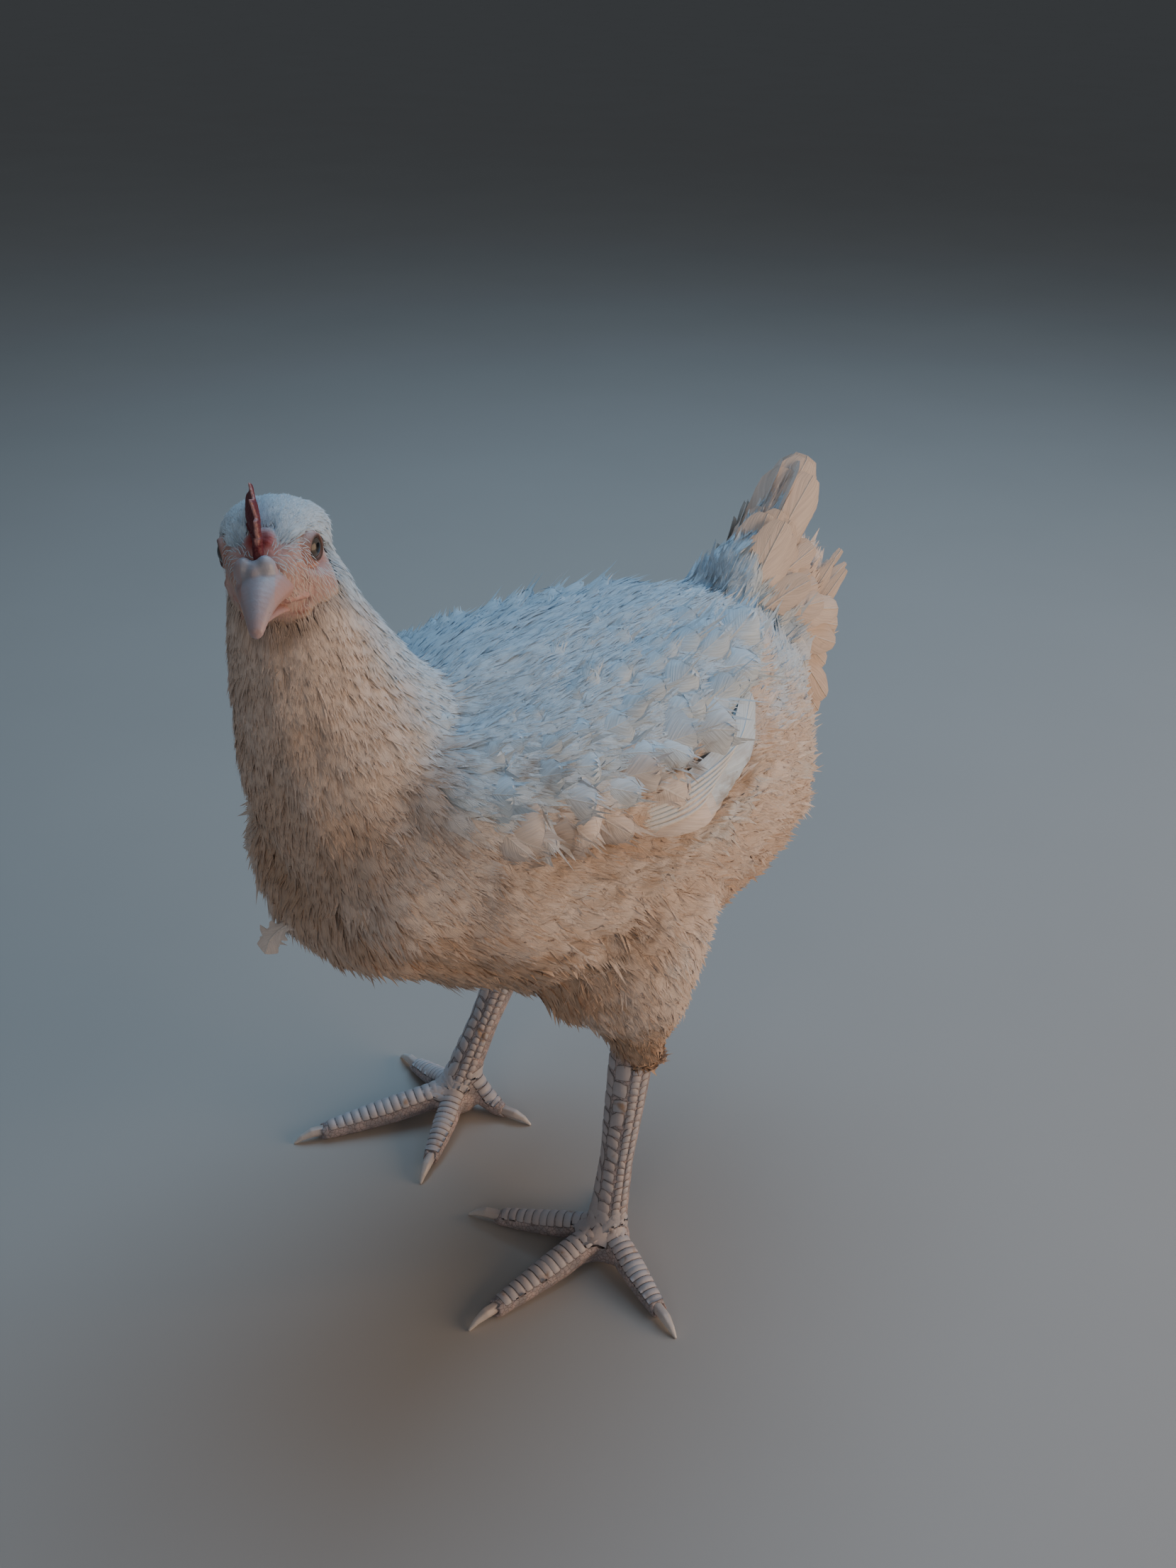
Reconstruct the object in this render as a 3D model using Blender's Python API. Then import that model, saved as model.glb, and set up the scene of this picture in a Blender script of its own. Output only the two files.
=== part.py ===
"""A young white chicken, standing and looking round to its left, as a set of closed solids.

Metres, +Z up. The bird faces -Y and its left side is +X. The floor is Z = 0, under both feet. Each
solid holds the outline of its own part out to the tips of the feathers. Where two parts would meet
they are parted by a thin gap, cut in the later of the two in the order of the list in build_bird.
"""

import math

import bmesh
import bpy
from mathutils import Matrix, Vector

# Driving dimensions.
GAP = 0.0005
FLOOR = 0.0
# The body's sections are given about the middle of both feet. The bird carries its weight more over
# its left foot and over its toes, so the body is then brought to its size and moved there.
BODY_SCALE = 0.955
BODY_SHIFT = Vector((0.01625, -0.01465, 0.01996))
PAD_RADIUS = 0.0088
PAD_HEIGHT = 0.0068
TOE_SINK = 0.88  # height of a toe's middle line over the floor, as a share of its radius
TOE_ARCH = 0.0022  # how far the toe's middle is lifted off the floor
HIND_TOE_RISE = 0.0090  # how far up the shank the hind toe leaves it
TOE_LANDING = 0.55  # share of a toe's length at which it comes down on the floor
CLAW_LENGTH = 0.0115
CLAW_RADIUS = 0.0023
CLAW_INSIDE = 0.0020  # how far a claw starts inside its toe
CLAW_RISE = 0.0020  # height of the claw's middle line before it bends to the floor
CLAW_LIFT = 0.0008  # how far the claw's root stands over the toe's middle line
CLAW_TIP = 0.0003  # height of the middle line at the tip, which rests on the floor

# The trunk, in planes across the body: how far back, top, bottom, half width, height of the widest line.
TRUNK_SECTIONS = (
    (-0.095, 0.198, 0.160, 0.020, 0.179),
    (-0.087, 0.211, 0.150, 0.036, 0.179),
    (-0.070, 0.225, 0.140, 0.049, 0.179),
    (-0.043, 0.235, 0.121, 0.059, 0.180),
    (-0.010, 0.238, 0.103, 0.064, 0.180),
    (0.035, 0.235, 0.097, 0.063, 0.180),
    (0.075, 0.230, 0.098, 0.056, 0.174),
    (0.106, 0.222, 0.101, 0.045, 0.164),
    (0.128, 0.204, 0.106, 0.033, 0.150),
    (0.143, 0.170, 0.114, 0.021, 0.141),
)

# The neck: middle of each section, half width, half depth and how far its rear edge is tipped down.
NECK_SECTIONS = (
    (-0.048, 0.176, 0.042, 0.043, 34.0),
    (-0.059, 0.197, 0.039, 0.041, 32.0),
    (-0.069, 0.219, 0.033, 0.036, 26.0),
    (-0.077, 0.241, 0.0258, 0.029, 18.0),
    (-0.083, 0.263, 0.0198, 0.0225, 6.0),
    (-0.086, 0.284, 0.0165, 0.0175, -8.0),
)

# The head in its own frame, bill towards -Y: how far back, top, bottom, half width.
HEAD_MIDDLE = Vector((0.001, -0.091, 0.2885))
HEAD_YAW, HEAD_PITCH, HEAD_ROLL = 46.5, 8.0, -3.5
HEAD_SECTIONS = (
    (-0.0200, 0.0020, -0.0090, 0.0050),
    (-0.0160, 0.0058, -0.0125, 0.0084),
    (-0.0090, 0.0098, -0.0160, 0.0122),
    (-0.0010, 0.0128, -0.0185, 0.0142),
    (0.0075, 0.0132, -0.0195, 0.0152),
    (0.0160, 0.0090, -0.0190, 0.0148),
    (0.0225, 0.0035, -0.0160, 0.0120),
)
HEAD_SQUARE = 0.97
EYE_RADIUS = 0.0052
EYE_PLACE = (0.0092, -0.0010, 0.0012)
BILL_ROOT = -0.0165
BILL_RINGS = 7
# Each half of the bill: length, how far its tip drops, top and bottom of its root, half width.
BILL_HALVES = {
    "bill_upper": (0.0220, -0.0078, 0.0045, -0.0062, 0.0062),
    "bill_lower": (0.0176, -0.0040, -0.0066, -0.0105, 0.0050),
}
WATTLE_PLACE = (0.0085, -0.0080, -0.0160)
WATTLE_RADII = (0.0022, 0.0032, 0.0042)
COMB_THICKNESS = 0.0023
COMB_LEAN = 0.0018
# The comb's outline in the head's middle plane, as (how far back, height).
COMB_OUTLINE = (
    (-0.0205, 0.0025),
    (-0.0195, 0.0060),
    (-0.0165, 0.0100),
    (-0.0150, 0.0105),
    (-0.0125, 0.0150),
    (-0.0105, 0.0148),
    (-0.0075, 0.0190),
    (-0.0052, 0.0178),
    (-0.0010, 0.0208),
    (0.0012, 0.0172),
    (0.0055, 0.0142),
    (0.0030, 0.0100),
    (-0.0080, 0.0070),
    (-0.0160, 0.0020),
)

# A folded wing on the left side: middle of each section, half the chord (along its own up line), half
# thickness, and how far the chord leans in over the back.
WING_SECTIONS = (
    ((0.034, -0.071, 0.211), 0.009, 0.0050, 36.0),
    ((0.039, -0.058, 0.212), 0.017, 0.0080, 40.0),
    ((0.042, -0.035, 0.211), 0.023, 0.0100, 44.0),
    ((0.043, -0.004, 0.211), 0.026, 0.0105, 46.0),
    ((0.040, 0.028, 0.212), 0.025, 0.0100, 48.0),
    ((0.036, 0.056, 0.213), 0.021, 0.0085, 50.0),
    ((0.031, 0.076, 0.216), 0.013, 0.0070, 52.0),
    ((0.028, 0.088, 0.218), 0.006, 0.0045, 52.0),
)

# The quills of the folded wing that show below its coverts.
QUILL_SECTIONS = (
    ((0.0670, -0.014, 0.189), 0.0030, 0.0014, 18.0),
    ((0.0660, 0.002, 0.186), 0.0080, 0.0020, 22.0),
    ((0.0625, 0.024, 0.189), 0.0110, 0.0022, 26.0),
    ((0.0565, 0.048, 0.197), 0.0115, 0.0022, 32.0),
    ((0.0470, 0.072, 0.207), 0.0085, 0.0020, 38.0),
    ((0.0400, 0.086, 0.214), 0.0030, 0.0014, 42.0),
)

# The tail: a fan of upright sections about a root inside the rump, from the back round to the vent, as
# (lift in degrees, reach, half width, share of the reach where it is widest).
TAIL_ROOT = Vector((0.0, 0.105, 0.200))
TAIL_INSIDE = 0.012
TAIL_SECTIONS = (
    (98.0, 0.033, 0.016, 0.45),
    (78.0, 0.040, 0.014, 0.42),
    (64.0, 0.051, 0.012, 0.38),
    (57.0, 0.073, 0.010, 0.34),
    (50.0, 0.079, 0.010, 0.34),
    (41.0, 0.074, 0.011, 0.34),
    (32.0, 0.066, 0.013, 0.36),
    (21.0, 0.078, 0.016, 0.38),
    (10.0, 0.090, 0.018, 0.38),
    (0.0, 0.079, 0.021, 0.40),
    (-15.0, 0.073, 0.024, 0.42),
    (-29.0, 0.075, 0.025, 0.42),
    (-45.0, 0.066, 0.025, 0.44),
    (-66.0, 0.060, 0.024, 0.46),
)

# Legs: hock, and the joint where the toes meet the shank. Toes: (where the claw ends, radius at the root).
LEGS = {
    "left": {
        "hip": Vector((0.0506, 0.0025, 0.1709)),
        "hock": Vector((0.0545, 0.0035, 0.0900)),
        "foot": Vector((0.0517, -0.0058, 0.0130)),
        "toes": (
            ("inner", (0.0010, -0.0315), 0.0046),
            ("middle", (0.0450, -0.0700), 0.0052),
            ("outer", (0.1000, -0.0200), 0.0047),
            ("hind", (0.0310, 0.0190), 0.0040),
        ),
    },
    "right": {
        "hip": Vector((-0.0181, 0.0121, 0.1709)),
        "hock": Vector((-0.0455, 0.0450, 0.0800)),
        "foot": Vector((-0.0500, 0.0080, 0.0125)),
        "toes": (
            ("inner", (-0.0250, -0.0340), 0.0046),
            ("middle", (-0.0805, -0.0555), 0.0052),
            ("outer", (-0.0940, 0.0120), 0.0047),
            ("hind", (-0.0195, 0.0215), 0.0040),
        ),
    },
}
# Half width of the feathered thigh, from the hip down to the hock, as (share of the way, half width,
# half depth, how far forward of the leg's own line).
THIGH_SECTIONS = (
    (-0.10, 0.014, 0.020, 0.000),
    (0.10, 0.023, 0.037, 0.000),
    (0.35, 0.025, 0.036, 0.002),
    (0.58, 0.023, 0.030, 0.004),
    (0.76, 0.019, 0.0215, 0.004),
    (0.90, 0.0140, 0.0142, 0.002),
    (0.97, 0.0110, 0.0115, 0.001),
    (1.02, 0.0085, 0.0085, 0.000),
)

# The bare shank, as (share of the way from the hock to the foot, radius).
SHANK_SECTIONS = (
    (-0.10, 0.0070),
    (0.00, 0.0079),
    (0.25, 0.0071),
    (0.60, 0.0059),
    (0.88, 0.0067),
    (1.00, 0.0074),
)
# A toe, as (share of the way to the claw, radius there over the radius at the root).
TOE_SECTIONS = ((0.0, 1.25), (0.22, 1.06), (0.44, 1.08), (0.72, 0.90), (1.0, 0.66))
CLAW_SWELLS = (0.98, 0.92, 0.58, 0.22)

FINISHES = {
    "feathers": ((0.86, 0.80, 0.74), 0.80),
    "quills": ((0.88, 0.87, 0.86), 0.55),
    "face": ((0.80, 0.56, 0.52), 0.60),
    "comb": ((0.62, 0.24, 0.26), 0.55),
    "bill": ((0.80, 0.72, 0.70), 0.40),
    "eye": ((0.30, 0.24, 0.20), 0.08),
    "legs": ((0.78, 0.68, 0.67), 0.50),
    "claws": ((0.82, 0.76, 0.73), 0.35),
}


def clear_scene():
    """Removes every object that the file opened with."""
    for obj in list(bpy.data.objects):
        bpy.data.objects.remove(obj, do_unlink=True)


def make_collection(name):
    """A new collection in the scene."""
    made = bpy.data.collections.new(name)
    bpy.context.scene.collection.children.link(made)
    return made


def make_material(name, colour, roughness):
    """A Principled material of one colour."""
    made = bpy.data.materials.new(name)
    made.use_nodes = True
    shader = made.node_tree.nodes["Principled BSDF"]
    shader.inputs["Base Color"].default_value = (*colour, 1.0)
    shader.inputs["Roughness"].default_value = roughness
    shader.inputs["Metallic"].default_value = 0.0
    return made


def make_object(name, bm):
    """An object of its own mesh, made from bm, with its faces turned outwards and shaded smooth."""
    bmesh.ops.recalc_face_normals(bm, faces=bm.faces)
    mesh = bpy.data.meshes.new(name)
    bm.to_mesh(mesh)
    bm.free()
    mesh.shade_smooth()
    obj = bpy.data.objects.new(name, mesh)
    bpy.context.scene.collection.objects.link(obj)
    return obj


def spline(values, steps):
    """Tuples of numbers read from a smooth curve through values, with steps between each two."""
    found = []
    for i in range(len(values) - 1):
        before = values[max(i - 1, 0)]
        after = values[min(i + 2, len(values) - 1)]
        for k in range(steps):
            t = k / steps
            found.append(
                tuple(
                    0.5
                    * (
                        2 * b
                        + (c - a) * t
                        + (2 * a - 5 * b + 4 * c - d) * t * t
                        + (3 * b - a - 3 * c + d) * t**3
                    )
                    for a, b, c, d in zip(before, values[i], values[i + 1], after)
                )
            )
    return [*found, tuple(values[-1])]


def ring_of(middle, across, up, down, sides, square=1.0):
    """Points round a section whose upper and lower halves may differ; square below 1 fills its corners."""
    points = []
    for k in range(sides):
        angle = 2 * math.pi * k / sides
        run, rise = math.cos(angle), math.sin(angle)
        run = math.copysign(abs(run) ** square, run)
        rise = math.copysign(abs(rise) ** square, rise)
        points.append(middle + across * run + (up if rise >= 0 else down) * rise)
    return points


def loft(name, rings):
    """A closed solid over rings of points, with a rounded cap on each end."""
    bm = bmesh.new()
    rows = [[bm.verts.new(p) for p in ring] for ring in rings]
    sides = len(rings[0])
    for near, far in zip(rows, rows[1:]):
        for k in range(sides):
            j = (k + 1) % sides
            bm.faces.new((near[k], near[j], far[j], far[k]))
    for row, inner in ((rows[0], rings[1]), (rows[-1], rings[-2])):
        middle = sum((v.co for v in row), Vector()) / sides
        step = middle - sum(inner, Vector()) / sides
        reach = max((v.co - middle).length for v in row)
        out = step.normalized() * min(step.length, reach) * 0.5
        pole = bm.verts.new(middle + out)
        for k in range(sides):
            bm.faces.new((row[k], row[(k + 1) % sides], pole))
    return make_object(name, bm)


def body_loft(name, sections, steps, sides):
    """A loft along Y through upright sections of (y, top, bottom, half width, widest height)."""
    rings = []
    for y, top, bottom, half, widest in spline(sections, steps):
        rings.append(
            ring_of(
                Vector((0, y, widest)),
                Vector((half, 0, 0)),
                Vector((0, 0, top - widest)),
                Vector((0, 0, widest - bottom)),
                sides,
            )
        )
    return loft(name, rings)


def blade_loft(name, sections, steps, sides):
    """A flat loft on the body's left side through (middle, half chord, half thickness, lean) sections."""
    flat = [(*middle, chord, thick, lean) for middle, chord, thick, lean in sections]
    rings = []
    for x, y, z, chord, thick, lean in spline(flat, steps):
        tip = math.radians(lean)
        up = Vector((-math.sin(tip), 0, math.cos(tip))) * chord
        out = Vector((math.cos(tip), 0, math.sin(tip))) * thick
        rings.append(ring_of(Vector((x, y, z)), up, out, out, sides))
    return loft(name, rings)


def limb(name, path, radii, sides):
    """A round limb along a path of points. Its sections stand across the way that the limb runs."""
    values = spline([(*p, r) for p, r in zip(path, radii)], 1)
    points = [Vector(v[:3]) for v in values]
    rings = []
    for i, value in enumerate(values):
        along = points[min(i + 1, len(points) - 1)] - points[max(i - 1, 0)]
        side = along.cross(Vector((0, 0, 1)))
        if side.length < 0.2 * along.length:
            side = along.cross(Vector((0, 1, 0)))
        side.normalize()
        radius = value[3]
        up = side.cross(along).normalized() * radius
        rings.append(ring_of(points[i], side * radius, up, up, sides))
    return loft(name, rings)


def transform(obj, matrix):
    """Moves the object's mesh by matrix, turning its faces back if matrix mirrors them."""
    obj.data.transform(matrix)
    if matrix.determinant() < 0:
        obj.data.flip_normals()


def mirrored(obj, name):
    """A copy of obj on the other side of the body's middle plane."""
    copy = bpy.data.objects.new(name, obj.data.copy())
    bpy.context.scene.collection.objects.link(copy)
    transform(copy, Matrix.Scale(-1, 4, Vector((1, 0, 0))))
    return copy


def apply_modifiers(obj):
    """Replaces the object's mesh with the mesh that its modifiers make."""
    graph = bpy.context.evaluated_depsgraph_get()
    made = bpy.data.meshes.new_from_object(obj.evaluated_get(graph))
    obj.modifiers.clear()
    obj.data = made


def keep_largest(obj):
    """Deletes every loose crumb of the mesh but the piece with the most faces."""
    bm = bmesh.new()
    bm.from_mesh(obj.data)
    left, islands = set(bm.verts), []
    while left:
        island, front = set(), [left.pop()]
        while front:
            vert = front.pop()
            island.add(vert)
            near = {edge.other_vert(vert) for edge in vert.link_edges} & left
            left -= near
            front.extend(near)
        islands.append(island)
    islands.sort(key=len)
    for island in islands[:-1]:
        bmesh.ops.delete(bm, geom=list(island), context="VERTS")
    bm.to_mesh(obj.data)
    bm.free()


def boolean(obj, other, operation):
    """Cuts other from obj, or joins it to obj, and applies the result."""
    modifier = obj.modifiers.new(operation.title(), "BOOLEAN")
    modifier.object = other
    modifier.operation = operation
    apply_modifiers(obj)


def grown(obj, distance, holder):
    """A copy of obj whose surface stands out by distance, kept in holder to cut its neighbours with."""
    copy = bpy.data.objects.new(obj.name + "_cutter", obj.data.copy())
    holder.objects.link(copy)
    copy.hide_render = True
    copy.display_type = "WIRE"
    normals = [v.normal.copy() for v in copy.data.vertices]
    for vert, normal in zip(copy.data.vertices, normals):
        vert.co += normal * distance
    return copy


def boxes_meet(a, b):
    """Whether the boxes round two meshes, which lie in world space, come within the gap."""
    sides = []
    for obj in (a, b):
        points = [v.co for v in obj.data.vertices]
        low = Vector(min(p[i] for p in points) - GAP for i in range(3))
        high = Vector(max(p[i] for p in points) + GAP for i in range(3))
        sides.append((low, high))
    (low_a, high_a), (low_b, high_b) = sides
    return all(low_a[i] < high_b[i] and low_b[i] < high_a[i] for i in range(3))


def join(obj, others):
    """Boolean union of obj with others, which are removed."""
    for other in others:
        boolean(obj, other, "UNION")
        bpy.data.objects.remove(other, do_unlink=True)
    return obj


def flatten_at_floor(obj):
    """Cuts off what lies under the floor and closes the mesh there with a flat face."""
    bm = bmesh.new()
    bm.from_mesh(obj.data)
    everything = bm.verts[:] + bm.edges[:] + bm.faces[:]
    cut = bmesh.ops.bisect_plane(
        bm, geom=everything, plane_co=(0, 0, FLOOR), plane_no=(0, 0, 1), clear_inner=True
    )
    rim = [g for g in cut["geom_cut"] if isinstance(g, bmesh.types.BMEdge)]
    bmesh.ops.contextual_create(bm, geom=[e for e in rim if e.is_boundary])
    bmesh.ops.holes_fill(bm, edges=[e for e in bm.edges if e.is_boundary], sides=0)
    bmesh.ops.recalc_face_normals(bm, faces=bm.faces)
    bm.to_mesh(obj.data)
    bm.free()


def head_matrix():
    """Places the head's own frame: rolled, then tipped down, then turned to the bird's left."""
    yaw = Matrix.Rotation(math.radians(HEAD_YAW), 4, "Z")
    pitch = Matrix.Rotation(math.radians(HEAD_PITCH), 4, "X")
    roll = Matrix.Rotation(math.radians(HEAD_ROLL), 4, "Y")
    return Matrix.Translation(HEAD_MIDDLE) @ yaw @ pitch @ roll


def make_skull():
    """The feathered head without bill, comb or eyes."""
    rings = []
    for y, top, bottom, half in spline(HEAD_SECTIONS, 2):
        rings.append(
            ring_of(
                Vector((0, y, 0)),
                Vector((half, 0, 0)),
                Vector((0, 0, top)),
                Vector((0, 0, -bottom)),
                16,
                HEAD_SQUARE,
            )
        )
    return loft("head", rings)


def make_bill(name, length, drop, root_top, root_bottom, half):
    """One half of the bill: a cone bent down towards its tip, between its upper and lower edges."""
    rings = []
    for k in range(BILL_RINGS):
        t = k / BILL_RINGS
        taper = (1 - t) ** 0.62
        bend = drop * t**2.2
        middle = Vector((0, BILL_ROOT - length * t, (root_top + root_bottom) / 2 * taper + bend))
        up = Vector((0, 0, (root_top - root_bottom) / 2 * taper))
        rings.append(ring_of(middle, Vector((half * taper, 0, 0)), up, up, 10))
    return loft(name, rings)


def make_comb():
    """The low young comb: a thin serrated blade along the forehead."""
    curve = bpy.data.curves.new("comb", "CURVE")
    curve.dimensions = "2D"
    curve.fill_mode = "BOTH"
    curve.extrude = COMB_THICKNESS / 2 * 0.55
    curve.bevel_depth = COMB_THICKNESS / 2 * 0.45
    curve.bevel_resolution = 0
    line = curve.splines.new("POLY")
    line.points.add(len(COMB_OUTLINE) - 1)
    line.use_cyclic_u = True
    for point, (y, z) in zip(line.points, COMB_OUTLINE):
        point.co = (y, z, 0, 1)
    flat = bpy.data.objects.new("comb_outline", curve)
    bpy.context.scene.collection.objects.link(flat)
    graph = bpy.context.evaluated_depsgraph_get()
    bm = bmesh.new()
    bm.from_mesh(bpy.data.meshes.new_from_object(flat.evaluated_get(graph)))
    bpy.data.objects.remove(flat, do_unlink=True)
    bmesh.ops.remove_doubles(bm, verts=bm.verts, dist=1e-6)
    stand = Matrix(((0, 0, 1, 0), (1, 0, 0, 0), (0, 1, 0, 0), (0, 0, 0, 1)))
    bmesh.ops.transform(bm, matrix=stand, verts=bm.verts)
    top = max(v.co.z for v in bm.verts)
    for vert in bm.verts:
        vert.co.x -= COMB_LEAN * max(vert.co.z / top, 0.0) ** 2
    return make_object("comb", bm)


def make_ball(name, middle, radii):
    """An ellipsoid at middle."""
    bm = bmesh.new()
    bmesh.ops.create_uvsphere(bm, u_segments=9, v_segments=6, radius=1.0)
    bmesh.ops.transform(
        bm, matrix=Matrix.Translation(middle) @ Matrix.Diagonal((*radii, 1.0)), verts=bm.verts
    )
    return make_object(name, bm)


def make_head():
    """The head's solids, in their places: eyes, comb, both halves of the bill, wattles and skull."""
    eye = make_ball("eye_left", Vector(EYE_PLACE), (EYE_RADIUS,) * 3)
    wattle = make_ball("wattle_left", Vector(WATTLE_PLACE), WATTLE_RADII)
    pieces = [
        eye,
        mirrored(eye, "eye_right"),
        make_comb(),
        *(make_bill(name, *values) for name, values in BILL_HALVES.items()),
        wattle,
        mirrored(wattle, "wattle_right"),
        make_skull(),
    ]
    for piece in pieces:
        transform(piece, head_matrix())
    return pieces


def make_neck():
    """The feathered neck, a loft through tipped level sections."""
    rings = []
    for y, z, half, depth, tip in spline(NECK_SECTIONS, 2):
        lean = math.radians(tip)
        back = Vector((0, math.cos(lean), math.sin(lean))) * depth
        rings.append(ring_of(Vector((0, y, z)), Vector((half, 0, 0)), back, back, 13))
    return loft("neck", rings)


def make_tail():
    """The tail: the standing feathers above and the soft ragged coverts below and behind, as one fan."""
    rings = []
    for lift, reach, half, widest in spline(TAIL_SECTIONS, 2):
        angle = math.radians(lift)
        along = Vector((0, math.cos(angle), math.sin(angle)))
        middle = TAIL_ROOT + along * reach * widest
        outer, inner = reach * (1 - widest), reach * widest - TAIL_INSIDE
        rings.append(ring_of(middle, Vector((half, 0, 0)), along * outer, along * inner, 9))
    return loft("tail", rings)


def make_thigh(side):
    """The feathered thigh and drumstick, from the hip down to the hock."""
    leg = LEGS[side]
    hip, hock = leg["hip"], leg["hock"]
    along = (hock - hip).normalized()
    rings = []
    for share, half, depth, forward in spline(THIGH_SECTIONS, 2):
        middle = hip.lerp(hock, share) + Vector((0, -forward, 0))
        across = Vector((0, 1, 0)).cross(along).normalized()
        front = along.cross(across).normalized()
        rings.append(ring_of(middle, across * half, front * depth, front * depth, 12))
    return loft(f"thigh_{side}", rings)


def make_shank(side):
    """The bare scaled shank, from inside the hock feathers to the toes."""
    leg = LEGS[side]
    hock, foot = leg["hock"], leg["foot"]
    path = [hock.lerp(foot, share) for share, radius in SHANK_SECTIONS]
    radii = [radius for share, radius in SHANK_SECTIONS]
    return limb(f"shank_{side}", path, radii, 12)


def toe_path(side, toe, end, radius):
    """Points along a toe, from the foot down to the floor and out to where the claw starts, and radii."""
    foot, hock = LEGS[side]["foot"], LEGS[side]["hock"]
    root = foot - Vector((0, 0, foot.z * 0.16))
    if toe == "hind":
        root = foot + (hock - foot).normalized() * HIND_TOE_RISE
    out = Vector((*end, 0)) - Vector((root.x, root.y, 0))
    stop = (out.length - CLAW_LENGTH) / out.length
    radii = [radius * swell for share, swell in TOE_SECTIONS]
    points = []
    for (share, swell), r in zip(TOE_SECTIONS, radii):
        resting = r * TOE_SINK + TOE_ARCH * (1 - share) * min(share * 4, 1.0)
        height = resting + (root.z - resting) * (1 - min(share / TOE_LANDING, 1.0)) ** 1.3
        points.append(Vector((root.x, root.y, 0)) + out * stop * share + Vector((0, 0, height)))
    return points, radii


def make_foot(side):
    """The toes, their common pad and the webs between them, flat where they rest."""
    leg = LEGS[side]
    foot = leg["foot"]
    name = f"foot_{side}"
    pad = make_ball(name, Vector((foot.x, foot.y, PAD_HEIGHT)), (PAD_RADIUS, PAD_RADIUS, PAD_RADIUS * 0.95))
    toes = []
    for toe, end, radius in leg["toes"]:
        points, radii = toe_path(side, toe, end, radius)
        toes.append(limb(f"{toe}_{side}", points, radii, 8))
    join(pad, toes)
    flatten_at_floor(pad)
    return pad


def make_claw(side, toe, end, radius):
    """One claw: a curved cone from the toe's end, coming down on the floor at its tip."""
    points, radii = toe_path(side, toe, end, radius)
    start = points[-1]
    out = Vector((*end, 0)) - Vector((start.x, start.y, 0))
    out.normalize()
    rise = Vector((0, 0, 1))
    reach = (Vector((*end, 0)) - Vector((start.x, start.y, 0))).length
    path = [
        start - out * CLAW_INSIDE + rise * CLAW_LIFT,
        start + out * reach * 0.33 + rise * CLAW_LIFT,
        start + out * reach * 0.70 + rise * (CLAW_RISE - start.z) * 0.6,
        start + out * reach * 0.97 + rise * (CLAW_TIP - start.z),
    ]
    radii = [CLAW_RADIUS * swell for swell in CLAW_SWELLS]
    claw = limb(f"claw_{side}_{toe}", path, radii, 6)
    flatten_at_floor(claw)
    return claw


def part_neighbours(pieces, holder):
    """Cuts each piece by those before it in the list, grown by the gap, where they come near."""
    cutters = [grown(piece, GAP, holder) for piece in pieces]
    for i, piece in enumerate(pieces):
        for cutter in cutters[:i]:
            if boxes_meet(cutter, piece):
                boolean(piece, cutter, "DIFFERENCE")
        keep_largest(piece)


def finish_of(name):
    """Which of the finishes a piece takes."""
    for start, finish in (
        ("eye", "eye"),
        ("bill", "bill"),
        ("comb", "comb"),
        ("wattle", "comb"),
        ("shank", "legs"),
        ("foot", "legs"),
        ("claw", "claws"),
        ("quills", "quills"),
    ):
        if name.startswith(start):
            return finish
    return "feathers"


def centre_on_floor(pieces):
    """Moves everything so that the middle of its box, seen from above, is the origin."""
    points = [v.co for piece in pieces for v in piece.data.vertices]
    low = Vector(min(p[i] for p in points) for i in range(3))
    high = Vector(max(p[i] for p in points) for i in range(3))
    middle = (low + high) / 2
    for piece in pieces:
        piece.data.transform(Matrix.Translation((-middle.x, -middle.y, 0)))


def make_body():
    """The solids of the head, neck, wings, tail and trunk, in their places over the feet."""
    pieces = make_head()
    quills = blade_loft("quills_left", QUILL_SECTIONS, 2, 8)
    wing = blade_loft("wing_left", WING_SECTIONS, 2, 12)
    pieces += [make_neck(), quills, mirrored(quills, "quills_right")]
    pieces += [wing, mirrored(wing, "wing_right"), make_tail()]
    pieces.append(body_loft("trunk", TRUNK_SECTIONS, 2, 18))
    place = Matrix.Translation(BODY_SHIFT) @ Matrix.Scale(BODY_SCALE, 4)
    for piece in pieces:
        transform(piece, place)
    return pieces


def make_legs():
    """The solids of both legs: claws, shanks, feet and feathered thighs, in that order."""
    claws, shanks, feet, thighs = [], [], [], []
    for side, leg in LEGS.items():
        feet.append(make_foot(side))
        shanks.append(make_shank(side))
        thighs.append(make_thigh(side))
        for toe, end, radius in leg["toes"]:
            claws.append(make_claw(side, toe, end, radius))
    return [*claws, *shanks, *feet, *thighs]


def build_bird():
    """Makes every solid, parts them from each other and gives each its own finish."""
    clear_scene()
    *front, tail, trunk = make_body()
    pieces = [*front, *make_legs(), tail, trunk]
    part_neighbours(pieces, make_collection("cutters"))
    centre_on_floor(pieces)
    bird = make_collection("chicken")
    finishes = {name: make_material(name, *values) for name, values in FINISHES.items()}
    for piece in pieces:
        piece.data.materials.clear()
        piece.data.materials.append(finishes[finish_of(piece.name)])
        bpy.context.scene.collection.objects.unlink(piece)
        bird.objects.link(piece)


build_bird()
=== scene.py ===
"""A young white meat-type chicken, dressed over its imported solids: skin, plumage, bill, eyes and legs.

Metres, +Z up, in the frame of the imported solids. One skin stands for all the flesh and lies inside the
solids by the depth of the coat. The feathers are joined meshes that start on that skin and follow the
outline of the solids to their tips.
"""

import logging
import math
from dataclasses import dataclass, field
from enum import Enum

import bmesh
import bpy
import numpy as np
from mathutils import Matrix, Vector, noise
from mathutils.bvhtree import BVHTree


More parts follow.
